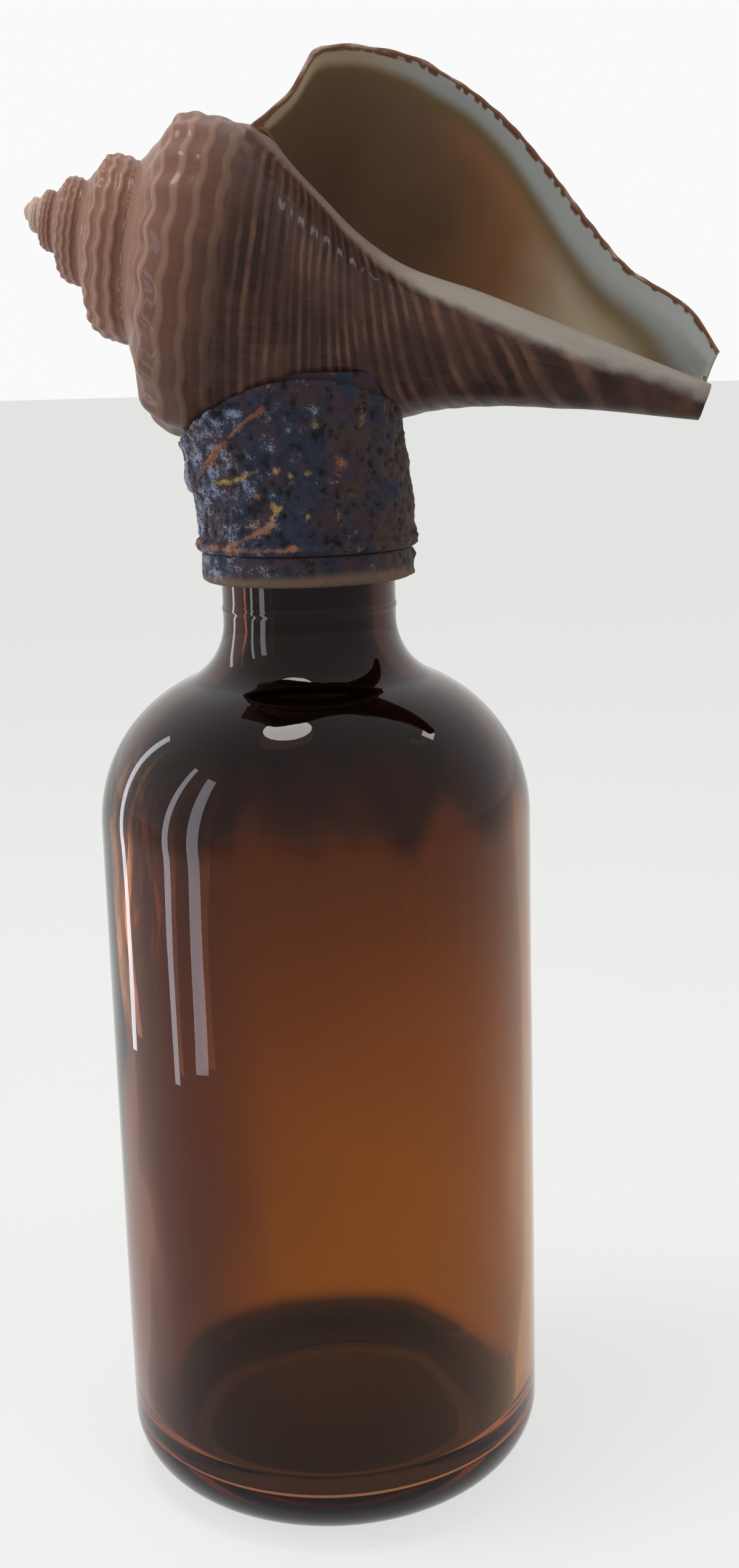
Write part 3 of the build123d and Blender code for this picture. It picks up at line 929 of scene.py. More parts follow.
@dataclass
class WhelkShell:
    """The shell: whorls that grow by one ratio a turn, a drawn-out lip and an open canal.

    A point is at a distance along the axis and a radius from it, a number of turns back
    from the lip. The outlines are in shoulder radii of the lip, as (along, radius).
    """

    seat: tuple[float, float, float] = (-2.41, 0.0, 150.5)
    tilt: float = 16.9
    yaw: float = 4.0
    size: float = 30.0
    growth: float = 1.738
    apex_share: float = 0.049
    whorl: Outline = ((0.88, 0.585), (1.01, 0.805), (1.12, 0.99), (1.33, 1.045))
    lip_edge: Outline = (
        (0.893, 0.617), (1.03, 0.807), (1.093, 1.0), (1.34, 1.07), (1.57, 1.073))
    lip_turns: float = 0.16
    lip: Outline = (
        (1.883, 0.98), (2.187, 0.813), (2.467, 0.61), (2.683, 0.47), (3.02, 0.363), (3.19, 0.223))
    back: Outline = (
        (1.417, 0.733), (1.647, 0.587), (1.867, 0.43), (2.083, 0.327), (2.567, 0.197),
        (3.19, 0.087))
    inner: Outline = (
        (1.083, 0.463), (1.267, 0.353), (1.45, 0.25), (1.633, 0.18), (2.1, 0.14), (3.19, 0.027))
    turns: int = 6
    columns: int = 240
    whorl_rows: tuple[int, ...] = (12, 10, 10, 10)
    base_rows: tuple[int, ...] = (16, 14, 14, 12, 16, 10)
    crease_turns: Pair = (0.45, 0.95)

    # Cavity and rim: thicknesses and reaches in millimetres
    wall: float = 1.4
    rim_wall: float = 0.55
    rim_turns: float = 0.05
    rim_swell: float = 0.45
    rim_start: int = 8
    callus: float = 1.5
    corner: float = 2.0
    corner_reach: float = 4.5
    lift_reach: float = 3.5
    least_gap: float = 0.6
    gap_rows: int = 20
    dome_height: float = 0.45
    mouth_turns: float = 0.88
    canal_turn: float = 0.12
    open_columns: int = 14
    closed_columns: int = 38
    cavity_end: float = 1.667
    canal_hold: tuple[float, ...] = (0.0, 0.0, 0.0, 0.3, 0.7, 1.0)
    lip_waves: tuple = ((0.0035, 0.34, 0.0), (0.002, 0.83, 1.0))
    wave_along: Pair = (30.0, 38.0)
    wave_turns: float = 0.05

    # Ornament: places across a whorl (cords) in shoulder radii from the suture
    row_lengths: tuple[float, ...] = (
        0.255, 0.215, 0.217, 0.2, 0.33, 0.35, 0.35, 0.26, 0.35, 0.22)
    foot_cord: float = 0.887
    base_cords: Pair = (0.93, 1.1)
    canal_cords: Pair = (2.55, 2.62)
    ramp_cords: Pair = (-0.42, -0.3)
    ramp_calm: float = 0.65
    spire_turns: Pair = (0.75, 1.15)
    cord_pitch: float = 0.15
    base_pitch: float = 0.72
    cord_waver: float = 0.4
    cord_rise: tuple[float, float, float] = (0.003, 0.009, 0.05)
    ribs: int = 20
    rib_cord: float = 0.47
    rib_width: float = 0.2
    rib_rise: float = 0.015
    uneven: float = 0.10
    uneven_grain: Grain = Grain(5, 6.0, 2)
    glaze_widths: tuple[float, float, float] = (3.2, 2.6, 3.4)
    glaze_thickness: float = 0.25
    glaze_calm: float = 0.8
    unglazed: float = 9.0

    def __post_init__(self) -> None:
        """Works out the axis, the two directions across it and the apex from the seat."""
        tilt, yaw = np.radians(self.tilt), np.radians(self.yaw)
        level = np.array([np.cos(yaw), -np.sin(yaw), 0.0])
        up = np.array([0.0, 0.0, 1.0])
        self.axis = level * np.cos(tilt) - up * np.sin(tilt)
        self.up = level * np.sin(tilt) + up * np.cos(tilt)
        self.away = np.array([np.sin(yaw), np.cos(yaw), 0.0])
        along, radius = np.array(self.back[0]) * self.size
        self.apex = np.array(self.seat) - self.axis * along + self.up * radius
        self.apex_offset = self.apex_share * self.size
        self.tip = self.lip[-1][0] * self.size

    def place(self, profile: Array, turn: Array, waved: bool = True) -> Array:
        """Points in the frame of the part.

        Args:
            profile: (along, radius) in millimetres on the last axis.
            turn: Turns back from the lip, one for each point.
            waved: Whether the outer lip's edge is waved a little round the axis.

        Returns:
            The points.
        """
        along, radius = profile[..., 0], profile[..., 1]
        waves = [size * np.sin(along * rate + start) for size, rate, start in self.lip_waves]
        wave = sum(waves) * smooth_step(along, *self.wave_along) * bell(turn, self.wave_turns)
        angle = 2 * np.pi * (turn - wave * waved)[..., None]
        around = self.up * np.cos(angle) + self.away * np.sin(angle)
        return self.apex + self.axis * along[..., None] + around * radius[..., None]

    def spiral(self, station: tuple, drawn_to: tuple, turn: Array) -> Array:
        """A line that grows by one ratio a turn and is drawn to its own point at the lip.

        Args:
            station: (along, radius) of the line at the lip, were it not drawn.
            drawn_to: (along, radius) that the line is drawn to.
            turn: Turns back from the lip.

        Returns:
            Points (along, radius) in millimetres.
        """
        size = self.size * self.growth ** -turn
        free = np.stack([size * station[0] - self.apex_offset, size * station[1]], -1)
        drawn = np.clip(1 - np.abs(turn) / self.lip_turns, 0, None)[:, None] ** 2
        return free + (np.array(drawn_to) * self.size - free) * drawn

    def suture(self, turn: Array) -> Array:
        """The line where a whorl meets the one above it."""
        return self.spiral(self.whorl[0], self.lip_edge[0], turn)

    def below(self, turn: Array) -> Array:
        """The foot of a whorl's wall: the next suture, or its own line near the lip."""
        foot = (self.growth * self.whorl[0][0], self.growth * self.whorl[0][1])
        near = self.spiral(foot, self.lip_edge[-1], turn)
        return np.where((turn < 0.5)[:, None], near, self.suture(turn - 1))

    def stations(self, turn: Array) -> list[Array]:
        """The lines of a whorl from suture to suture, drawn to a ring on the first turn.

        Args:
            turn: Turns back from the lip.

        Returns:
            Points (along, radius) in millimetres, one array a line.
        """
        lines = [self.spiral(s, p, turn) for s, p in zip(self.whorl, self.lip_edge)]
        first = self.turns - 1
        share = smooth_step(first + 1 - turn, 0, 1)[:, None]
        ring = self.suture(np.full(1, float(first)))
        lines = [np.where((turn > first)[:, None], ring + (s - ring) * share, s) for s in lines]
        return lines + [self.below(turn)]

    def base(self, turn: Array) -> list[Array]:
        """Lines of the last whorl's base: a parabola in turns through three profiles.

        The distance along the axis is interpolated as it is and the radius by its logarithm.

        Args:
            turn: Turns back from the lip.

        Returns:
            Points (along, radius) in millimetres, one array a line.
        """
        weights = (2 * (turn - 0.5) * (turn - 1), 4 * turn * (1 - turn), 2 * turn * (turn - 0.5))
        lines = []
        for points in zip(self.lip, self.back, self.inner):
            sized = np.array(points) * self.size
            along = sum(w * p[0] for w, p in zip(weights, sized))
            radius = np.exp(sum(w * np.log(p[1]) for w, p in zip(weights, sized)))
            lines.append(np.stack([along, radius], -1))
        return lines

    @staticmethod
    def joined(lines: list[Array], rows: tuple, crease: Array | None = None, at: int = 4) -> Array:
        """A smooth profile through the lines' points: cubic pieces by chord length.

        Args:
            lines: Points (along, radius) for each turn, one array a station.
            rows: Rows between each two stations.
            crease: How far the profile is broken at one station, 0 to 1 for each turn.
            at: That station.

        Returns:
            Points on a rows by turns grid.
        """
        points = np.stack(lines)
        steps = np.diff(points, axis=0)
        chord = np.maximum(np.linalg.norm(steps, axis=-1, keepdims=True), 1e-9)
        slope = steps / chord
        middle = (slope[:-1] * chord[1:] + slope[1:] * chord[:-1]) / (chord[:-1] + chord[1:])
        leaving = np.concatenate([slope[:1], middle, slope[-1:]])
        arriving = leaving.copy()
        if crease is not None:
            share = crease[:, None]
            arriving[at] += (slope[at - 1] - arriving[at]) * share
            leaving[at] += (slope[at] - leaving[at]) * share
        pieces = []
        for k, count in enumerate(rows):
            x = np.linspace(0, 1, count + 1)[:None if k == len(rows) - 1 else -1, None, None]
            start = (2 * x ** 3 - 3 * x ** 2 + 1) * points[k]
            leave = (x ** 3 - 2 * x ** 2 + x) * chord[k] * leaving[k]
            stop = (3 * x ** 2 - 2 * x ** 3) * points[k + 1]
            arrive = (x ** 3 - x ** 2) * chord[k] * arriving[k + 1]
            pieces.append(start + leave + stop + arrive)
        return np.concatenate(pieces)

    @staticmethod
    def outward(profile: Array) -> Array:
        """Unit normals of a profile in its half-plane, away from the axis."""
        slope = np.gradient(profile, axis=0)
        normal = np.stack([-slope[..., 1], slope[..., 0]], -1)
        return normal / np.maximum(np.linalg.norm(normal, axis=-1, keepdims=True), 1e-9)

    def cords(self, rows: int) -> Array:
        """Position of each row across the whorl, in shoulder radii from the suture."""
        pieces = zip(self.whorl_rows + self.base_rows, self.row_lengths)
        steps = np.concatenate([np.full(count, length / count) for count, length in pieces])
        return np.concatenate([[0], np.cumsum(steps)])[:rows]

    def relief(self, profile: Array, turn: Array, cord: Array) -> tuple[Array, Array]:
        """Height of the ornament, and its cords as a wave from -1 to 1.

        Rounded cords run along the whorls, 0.15 shoulder radii apart. Low ribs cross them,
        strongest on the shoulder. Both fade on the last whorl's wall, and the base's cords
        are evenly spaced. Heights are in shoulder radii of the turn, but on the base in
        millimetres.

        Args:
            profile: (along, radius) in millimetres on a rows by turns grid.
            turn: Turns back from the lip, one for each column.
            cord: Position across the whorl in shoulder radii, one for each row.

        Returns:
            The height in millimetres, and the wave.
        """
        size = self.size * self.growth ** -turn[None, :]
        phase = 2 * np.pi * self.ribs * turn[None, :]
        cord = cord[:, None]
        wave = 2 * np.pi * cord / self.cord_pitch + self.cord_waver * np.sin(phase)
        fine_wave = 2 * np.pi * cord / (self.cord_pitch * self.base_pitch)
        ridge = np.where(cord > 1.0, np.cos(fine_wave), np.cos(wave))
        base = smooth_step(cord, *self.base_cords)
        spire = smooth_step(turn, *self.spire_turns)[None, :]
        ramp = 1 - self.ramp_calm * smooth_step(-cord, *self.ramp_cords)
        rise, spire_rise, base_rise = self.cord_rise
        strength = size * (rise + spire_rise * spire) * ramp * (1 - base) + base_rise * base
        edge = smooth_step(cord, 0, 0.05) * (1 - smooth_step(cord, 2.2, 2.5) * 0.8)
        rib = np.sin(phase + 1.4 * np.sin(phase * 0.13))
        rib = rib * bell(cord - self.rib_cord, self.rib_width) * self.rib_rise * size
        height = strength * ridge * edge + rib * smooth_step(turn, 0.0, 0.06)[None, :]
        points = self.place(profile, np.broadcast_to(turn, profile.shape[:2]))
        return height + self.uneven * self.uneven_grain.at(points), ridge

    def glaze_width(self, along: Array) -> Array:
        """Width of the glaze beside the mouth: wide in the middle, narrow along the canal."""
        start, swell, taper = self.glaze_widths
        return start + swell * smooth_step(along, 0.33, 0.5) - taper * smooth_step(along, 0.7, 1)

    def whorls(self, turn: Array, last: bool) -> Patch:
        """The outer face over a stretch of turns.

        The last whorl has a base, and a glaze within a width of the mouth, which is smooth
        and a little thicker. Near the mouth its base is lifted to the pillar's face.

        Args:
            turn: Turns back from the lip, one for each column.
            last: Whether it is the last whorl.

        Returns:
            The face, marked for its colours.
        """
        lines, rows, crease = self.stations(turn), self.whorl_rows, None
        if last:
            lines, rows = lines + self.base(turn), rows + self.base_rows
            crease = smooth_step(turn, *self.crease_turns)
        profile = self.joined(lines, rows, crease)
        cord = self.cords(len(profile))
        height, ridge = self.relief(profile, turn, cord)
        spread = np.broadcast_to(turn, profile.shape[:2])
        along, back = profile[..., 0] / self.tip, (1 - spread) * 2 * np.pi * profile[..., 1]
        reach = np.full_like(back, self.unglazed)
        foot = sum(self.whorl_rows)
        if last:
            width = self.glaze_width(along)
            reach[foot:] = (back - width)[foot:]
            glazed = smooth_step(-reach, -0.6, 0.6)
            thick = self.glaze_thickness * glazed * smooth_step(reach + width, 0, 1)
            height = height * (1 - self.glaze_calm * glazed) + thick
            height = height * (1 - smooth_step(cord, *self.canal_cords))[:, None]
        else:
            first = self.turns - np.array([1.2, 0.4])
            height = height * (1 - smooth_step(turn, *first)[None, :])
        sink = smooth_step(turn, 0.5, 1)[None, :] * bell(cord - self.foot_cord, 0.03)[:, None]
        keep = smooth_step(cord, 0, 0.03)[:, None] * (1 - sink)
        raised = profile + self.outward(profile) * (height * keep)[..., None]
        if last:
            glaze = self.pillar(np.zeros(1)) - self.core(np.zeros(1))
            left = np.linalg.norm(np.diff(profile[foot:, -1], axis=0), axis=-1)
            lift = smooth_step(np.concatenate([[0], np.cumsum(left)]), 0, self.corner_reach)
            lift = lift[:, None] * (1 - smooth_step(back, 0, self.lift_reach))[foot:]
            lift = lift[..., None]
            raised[foot:] = raised[foot:] * (1 - lift) + (profile[foot:] + glaze) * lift
        base = smooth_step(cord, *self.base_cords)
        marks = {
            "along": along, "cord": np.broadcast_to(cord[:, None], spread.shape),
            "ridge": ridge, "turn": spread, "reach": reach,
            "base": np.broadcast_to(base[:, None], spread.shape)}
        return Patch(self.place(raised, spread), marks)

    def corner_line(self, turn: Array) -> Array:
        """The cavity's upper corner, one short step from the suture."""
        return self.suture(turn) + self.corner * np.array([0.99, 0.13])

    def from_corner(self, profile: Array, turn: Array, reach: float) -> Array:
        """A profile that leaves the cavity's corner and joins its own line within a reach.

        Args:
            profile: Points (along, radius) on a rows by turns grid.
            turn: Turns back from the lip, one for each column.
            reach: Length over which it joins, in millimetres.

        Returns:
            The new points.
        """
        steps = np.linalg.norm(np.diff(profile, axis=0), axis=-1)
        gone = np.concatenate([np.zeros((1, len(turn))), np.cumsum(steps, 0)])
        share = smooth_step(gone, 0, reach)[..., None]
        return self.corner_line(turn) * (1 - share) + profile * share

    def core(self, turn: Array) -> Array:
        """The inner lip's profile, which shrinks with the spiral but keeps the canal.

        Args:
            turn: Turns back from the lip, one for each column.

        Returns:
            Points (along, radius) on a rows by turns grid.
        """
        shrink = self.growth ** -turn[:, None]
        offset = np.array([self.apex_offset, 0.0])
        lines = [self.suture(turn)]
        for point, hold in zip(self.inner, self.canal_hold):
            factor = shrink + (1 - shrink) * hold
            lines.append((np.array(point) * self.size + offset) * factor - offset)
        return self.joined(lines, self.base_rows)

    def pillar(self, turn: Array) -> Array:
        """The core moved outwards by the glaze."""
        core = self.core(turn)
        return self.from_corner(core + self.outward(core) * self.callus, turn, self.corner_reach)

    def mouth(self) -> tuple[Patch, Patch, Patch]:
        """The cavity: the wall's inner face, the pillar and the band that ends them.

        The wall's inner face is the outer profile moved inwards, and stays least_gap from
        the pillar. Past the canal's turn both faces end at a distance along the axis that
        draws back with the turns.

        Returns:
            The inner face, the pillar and the band.
        """
        opened = np.linspace(0, self.canal_turn, self.open_columns)
        closed = np.linspace(self.canal_turn, self.mouth_turns, self.closed_columns)
        turn = np.concatenate([opened, closed[1:]])
        outer = self.joined(
            self.stations(turn) + self.base(turn), self.whorl_rows + self.base_rows,
            smooth_step(turn, *self.crease_turns))
        wall = self.rim_wall + (self.wall - self.rim_wall) * smooth_step(turn, 0, self.rim_turns)
        face = self.from_corner(
            outer - self.outward(outer) * wall[None, :, None], turn, self.corner_reach)
        pillar = self.pillar(turn)
        past = np.clip((turn - self.canal_turn) / (self.mouth_turns - self.canal_turn), 0, None)
        end = self.tip - past * (self.tip - self.cavity_end * self.size)
        gap = smooth_step(np.arange(len(face)), 0, self.gap_rows)
        for k, limit in enumerate(end):
            least = np.interp(face[:, k, 0], pillar[:, k, 0], pillar[:, k, 1]) + self.least_gap
            least[0] = 0
            face[:, k, 1] = np.maximum(face[:, k, 1], face[:, k, 1] + (least - face[:, k, 1]) * gap)
            if k >= len(opened):
                face[:, k], pillar[:, k] = self.cut(face[:, k], limit), self.cut(pillar[:, k], limit)
        sheets = []
        for profile, on_pillar in ((face, 0.0), (pillar, 1.0)):
            spread = np.broadcast_to(turn, profile.shape[:2])
            marks = {
                "inside": np.ones(spread.shape), "along": profile[..., 0] / self.tip,
                "turn": spread, "depth": spread * 2 * np.pi * profile[..., 1],
                "pillar": np.full(spread.shape, on_pillar),
                "cord": np.broadcast_to(np.linspace(0, 2.6, len(profile))[:, None], spread.shape)}
            sheets.append(Patch(self.place(profile, spread, on_pillar == 0), marks))
        ends = np.stack([sheet.points[-1, len(opened) - 1:] for sheet in sheets])
        return sheets[0], sheets[1], Patch(ends, {"inside": np.ones(ends.shape[:2])})

    @staticmethod
    def cut(profile: Array, limit: float) -> Array:
        """A profile's points spread again over its stretch up to a distance along the axis.

        Args:
            profile: Points (along, radius), one a row.
            limit: The distance along the axis.

        Returns:
            As many points on the shorter stretch.
        """
        index = np.arange(len(profile))
        last = np.interp(limit, np.maximum.accumulate(profile[:, 0]), index)
        wanted = np.linspace(0, last, len(profile))
        return np.stack([np.interp(wanted, index, profile[:, axis]) for axis in (0, 1)], -1)

    def rim(self, outer: Array, inner: Array, inside: float) -> Patch:
        """The rounded band at the mouth's edge between two rows of points.

        It bulges forwards by a half wave of rim_swell times its width, less at its start.

        Args:
            outer: Points of the outer row.
            inner: As many points of the inner row.
            inside: 1 where the band is coloured as the mouth is.

        Returns:
            The band.
        """
        share = np.linspace(0, 1, 6)[None, :, None]
        width = np.linalg.norm(inner - outer, axis=-1)
        fade = smooth_step(np.arange(len(outer)), 0, self.rim_start)
        swell = (np.sin(np.pi * share[..., 0]) * (width * fade)[:, None] * self.rim_swell)[..., None]
        points = outer[:, None] * (1 - share) + inner[:, None] * share - self.away * swell
        marks = {"rim": np.ones(points.shape[:2]), "inside": np.full(points.shape[:2], inside)}
        return Patch(points, marks)

    def dome(self) -> Patch:
        """The rounded apex: the first suture's loop drawn in to the axis and a little ahead.

        Returns:
            The cap of the spire.
        """
        first = self.turns - 1.0
        turn = np.linspace(first, first + 1, self.columns + 1)
        loop = self.stations(turn)[0]
        share = np.linspace(0, 1, 9)[:, None]
        middle = loop[:, 0].mean()
        along = loop[:, 0] + (middle - loop[:, 0]) * share - self.dome_height * (1 - (1 - share) ** 2)
        profile = np.stack([along, loop[:, 1] * (1 - share)], -1)
        spread = np.broadcast_to(turn, profile.shape[:2])
        marks = {"along": along / self.tip, "turn": spread,
                 "reach": np.full(spread.shape, self.unglazed)}
        return Patch(self.place(profile, spread), marks)

    def build(self) -> bpy.types.Object:
        """Sews the last whorl, the spire, the apex and the mouth into one closed shell.

        Returns:
            The shell.
        """
        last = self.whorls(np.linspace(0, 1, self.columns + 1), True)
        spire = self.whorls(np.linspace(1, self.turns, self.columns * (self.turns - 1) + 1), False)
        face, pillar, end = self.mouth()
        foot = sum(self.whorl_rows)
        edge = self.rim(last.points[:, 0], face.points[:, 0], 0.0)
        glaze = self.rim(last.points[foot:, -1], pillar.points[:, 0], 1.0)
        shell = sewn("sea_shell", [last, spire, self.dome(), face, pillar, end, edge, glaze])
        shell.data.materials.append(ShellFinish().material())
        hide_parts("whelk_shell")
        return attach(shell, "stopper")


class Powder(Enum):
    """The metal powder that a raised line or spot of the wrap is rubbed with; copper partly
    stands for painted highlight.
    """

    BARE = "bare"
    COPPER = "copper"
    GOLD = "gold"


@dataclass(frozen=True)
class Crease:
    """A raised line on the wrap as (angle in degrees, height) points."""

    path: Outline
    powder: Powder
    height: float = 0.3
    width: float = 0.55

    def distance(self, across: Array, height: Array, radius: float) -> tuple[Array, Array]:
        """Distance to the line on the unrolled wrap, and the same with the side as its sign.

        Args:
            across: Angle from the front in radians.
            height: Height in millimetres.
            radius: Radius of the wrap.

        Returns:
            The distance, and the distance that is positive to the left of the line's run.
        """
        place = np.stack([across * radius, height], -1)
        path = np.array(self.path, float) * np.array([np.radians(1) * radius, 1.0])
        best, side = np.full(across.shape, 1e9), np.zeros(across.shape)
        for start, stop in zip(path, path[1:]):
            run = stop - start
            share = np.clip(((place - start) @ run) / (run @ run), 0, 1)
            away = place - start - share[..., None] * run
            length = np.linalg.norm(away, axis=-1)
            nearer = length < best
            best = np.where(nearer, length, best)
            turned_left = run[0] * (place - start)[..., 1] - run[1] * (place - start)[..., 0]
            side = np.where(nearer, np.sign(turned_left) * length, side)
        return best, side


    def shape(self, angle: Array, height: Array, radius: float) -> Array:
        """A rounded ridge, 1 on the line, at angles and heights on a wrap of that radius."""
        return bell(self.distance(angle, height, radius)[0], self.width)


@dataclass(frozen=True)
class Spot:
    """A lump on the wrap or cap: angle in degrees, height, radius and how far it stands out."""

    angle: float
    level: float
    radius: float
    height: float
    powder: Powder = Powder.BARE

    def shape(self, angle: Array, height: Array, radius: float) -> Array:
        """A rounded lump, 1 in its middle, at angles and heights on a wrap of that radius."""
        across = (angle - np.radians(self.angle)) * radius
        return bell(np.hypot(across, height - self.level), self.radius)


@dataclass(frozen=True)
class Relief:
    """Hand-pressed surface: grain of three sizes, creases and lumps, with marks for powders."""

    radius: float
    lumps: float = 0.36
    pebble: float = 0.24
    fine: float = 0.09
    creases: tuple[Crease, ...] = ()
    spots: tuple[Spot, ...] = ()
    lump_grain: Grain = Grain(20, 4.2)
    pebble_grain: Grain = Grain(21, 1.15, 2)
    fine_grain: Grain = Grain(22, 0.5)

    def at(self, angle: Array, height: Array) -> tuple[Array, dict[str, Array]]:
        """Height of the relief in millimetres, and its marks.

        Args:
            angle: Angle from the front in radians.
            height: Height in millimetres.

        Returns:
            The relief, and the marks high, copper and gold.
        """
        points = round_axis(np.full(angle.shape, self.radius), angle, height)
        pebble, fine = self.pebble_grain.at(points), self.fine_grain.at(points)
        raised = self.lumps * self.lump_grain.at(points) + self.pebble * pebble + self.fine * fine
        marks = {"copper": np.zeros(angle.shape), "gold": np.zeros(angle.shape)}
        for press in (*self.creases, *self.spots):
            shape = press.shape(angle, height, self.radius)
            raised = raised + press.height * shape
            if press.powder is not Powder.BARE:
                marks[press.powder.value] = np.maximum(marks[press.powder.value], shape)
        marks["high"] = pebble * 0.7 + fine * 0.4
        return raised, marks


@dataclass
class ScrewCap:
    """The cap: a cup with a bead round the foot of its skirt and a thread inside.

    The bead, the skirt and the bore are radii, the bottom and the tops are heights.
    """

    bottom: float = 133.2
    bead_top: float = 137.4
    inner_top: float = 144.4
    top: float = 145.9
    bead: float = 14.7
    skirt: float = 14.3
    bore: float = 13.3
    rounding: float = 0.8
    thread: float = 0.3
    thread_width: float = 0.6
    thread_pitch: float = 4.2
    thread_start: float = 1.2
    tan_rim_height: Pair = (133.3, 134.6)
    tan_rim_radius: Pair = (13.6, 14.2)
    columns: int = 360
    relief: Relief = Relief(
        14.7, lumps=0.16, pebble=0.14, fine=0.06,
        spots=(
            Spot(88, 136.3, 0.7, 0.5), Spot(80, 133.9, 0.8, 0.4), Spot(74, 134.2, 0.6, 0.3),
            Spot(-31, 135.6, 0.8, 0.25), Spot(12, 135.2, 0.9, 0.2), Spot(-62, 135.0, 0.9, 0.25)))

    def outline(self) -> Array:
        """The cup's closed outline as (radius, height), from the mouth's inner edge round.

        Returns:
            Points (radius, height), one a row.
        """
        edge = self.bead - self.rounding
        return np.concatenate([
            [(self.bore, self.bottom + 0.3), (self.bore + 0.3, self.bottom)],
            arc((edge, self.bottom + self.rounding), self.rounding, 270, 360, 8),
            straight((self.bead, self.bottom + self.rounding), (self.bead, self.bead_top - 0.4), 26),
            arc((self.bead - 0.4, self.bead_top - 0.4), 0.4, 0, 90, 5),
            [(self.skirt, self.bead_top), (self.skirt, self.top - 0.3), (self.skirt - 0.3, self.top),
             (0.0, self.top), (0.0, self.inner_top), (self.bore, self.inner_top)],
            straight((self.bore, self.inner_top), (self.bore, self.bottom + 0.3), 40),
            [(self.bore, self.bottom + 0.3)]])

    def build(self) -> bpy.types.Object:
        """Turns the outline; the bead has the relief, the bore the thread and the foot a tan rim.

        The tan rim stands higher at the front right.

        Returns:
            The cap.
        """
        radius, angle, height = turned(self.outline(), self.columns)
        raised, marks = self.relief.at(angle, height)
        outside = smooth_step(radius, self.skirt + 0.05, self.bead - 0.1)
        outside = outside * smooth_step(height, self.bottom, self.bottom + 0.4)
        outside = outside * (1 - smooth_step(height, self.bead_top - 0.5, self.bead_top))
        pitch = self.thread_pitch
        climbed = height - self.thread_start - (angle / (2 * np.pi)) * pitch
        crest = self.thread * bell(np.mod(climbed, pitch) - pitch / 2, self.thread_width)
        inside = np.isclose(radius, self.bore) & (height > self.bottom + 1)
        inside = inside & (height < self.inner_top - 1.5)
        radius = radius + raised * outside - np.where(inside, crest, 0)
        marks = {name: value * outside for name, value in marks.items()}
        right = 0.45 + 0.55 * bell(angle - 0.6, 0.7)
        tan_rim = 1 - smooth_step(height - right, *self.tan_rim_height)
        marks["tan"] = tan_rim * smooth_step(radius, *self.tan_rim_radius)
        cap = sewn("cap_band", [Patch(round_axis(radius, angle, height), marks)])
        cap.data.materials.append(Patina(PatinaTone.BAND).material())
        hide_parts("screw_cap")
        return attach(cap, "stopper")


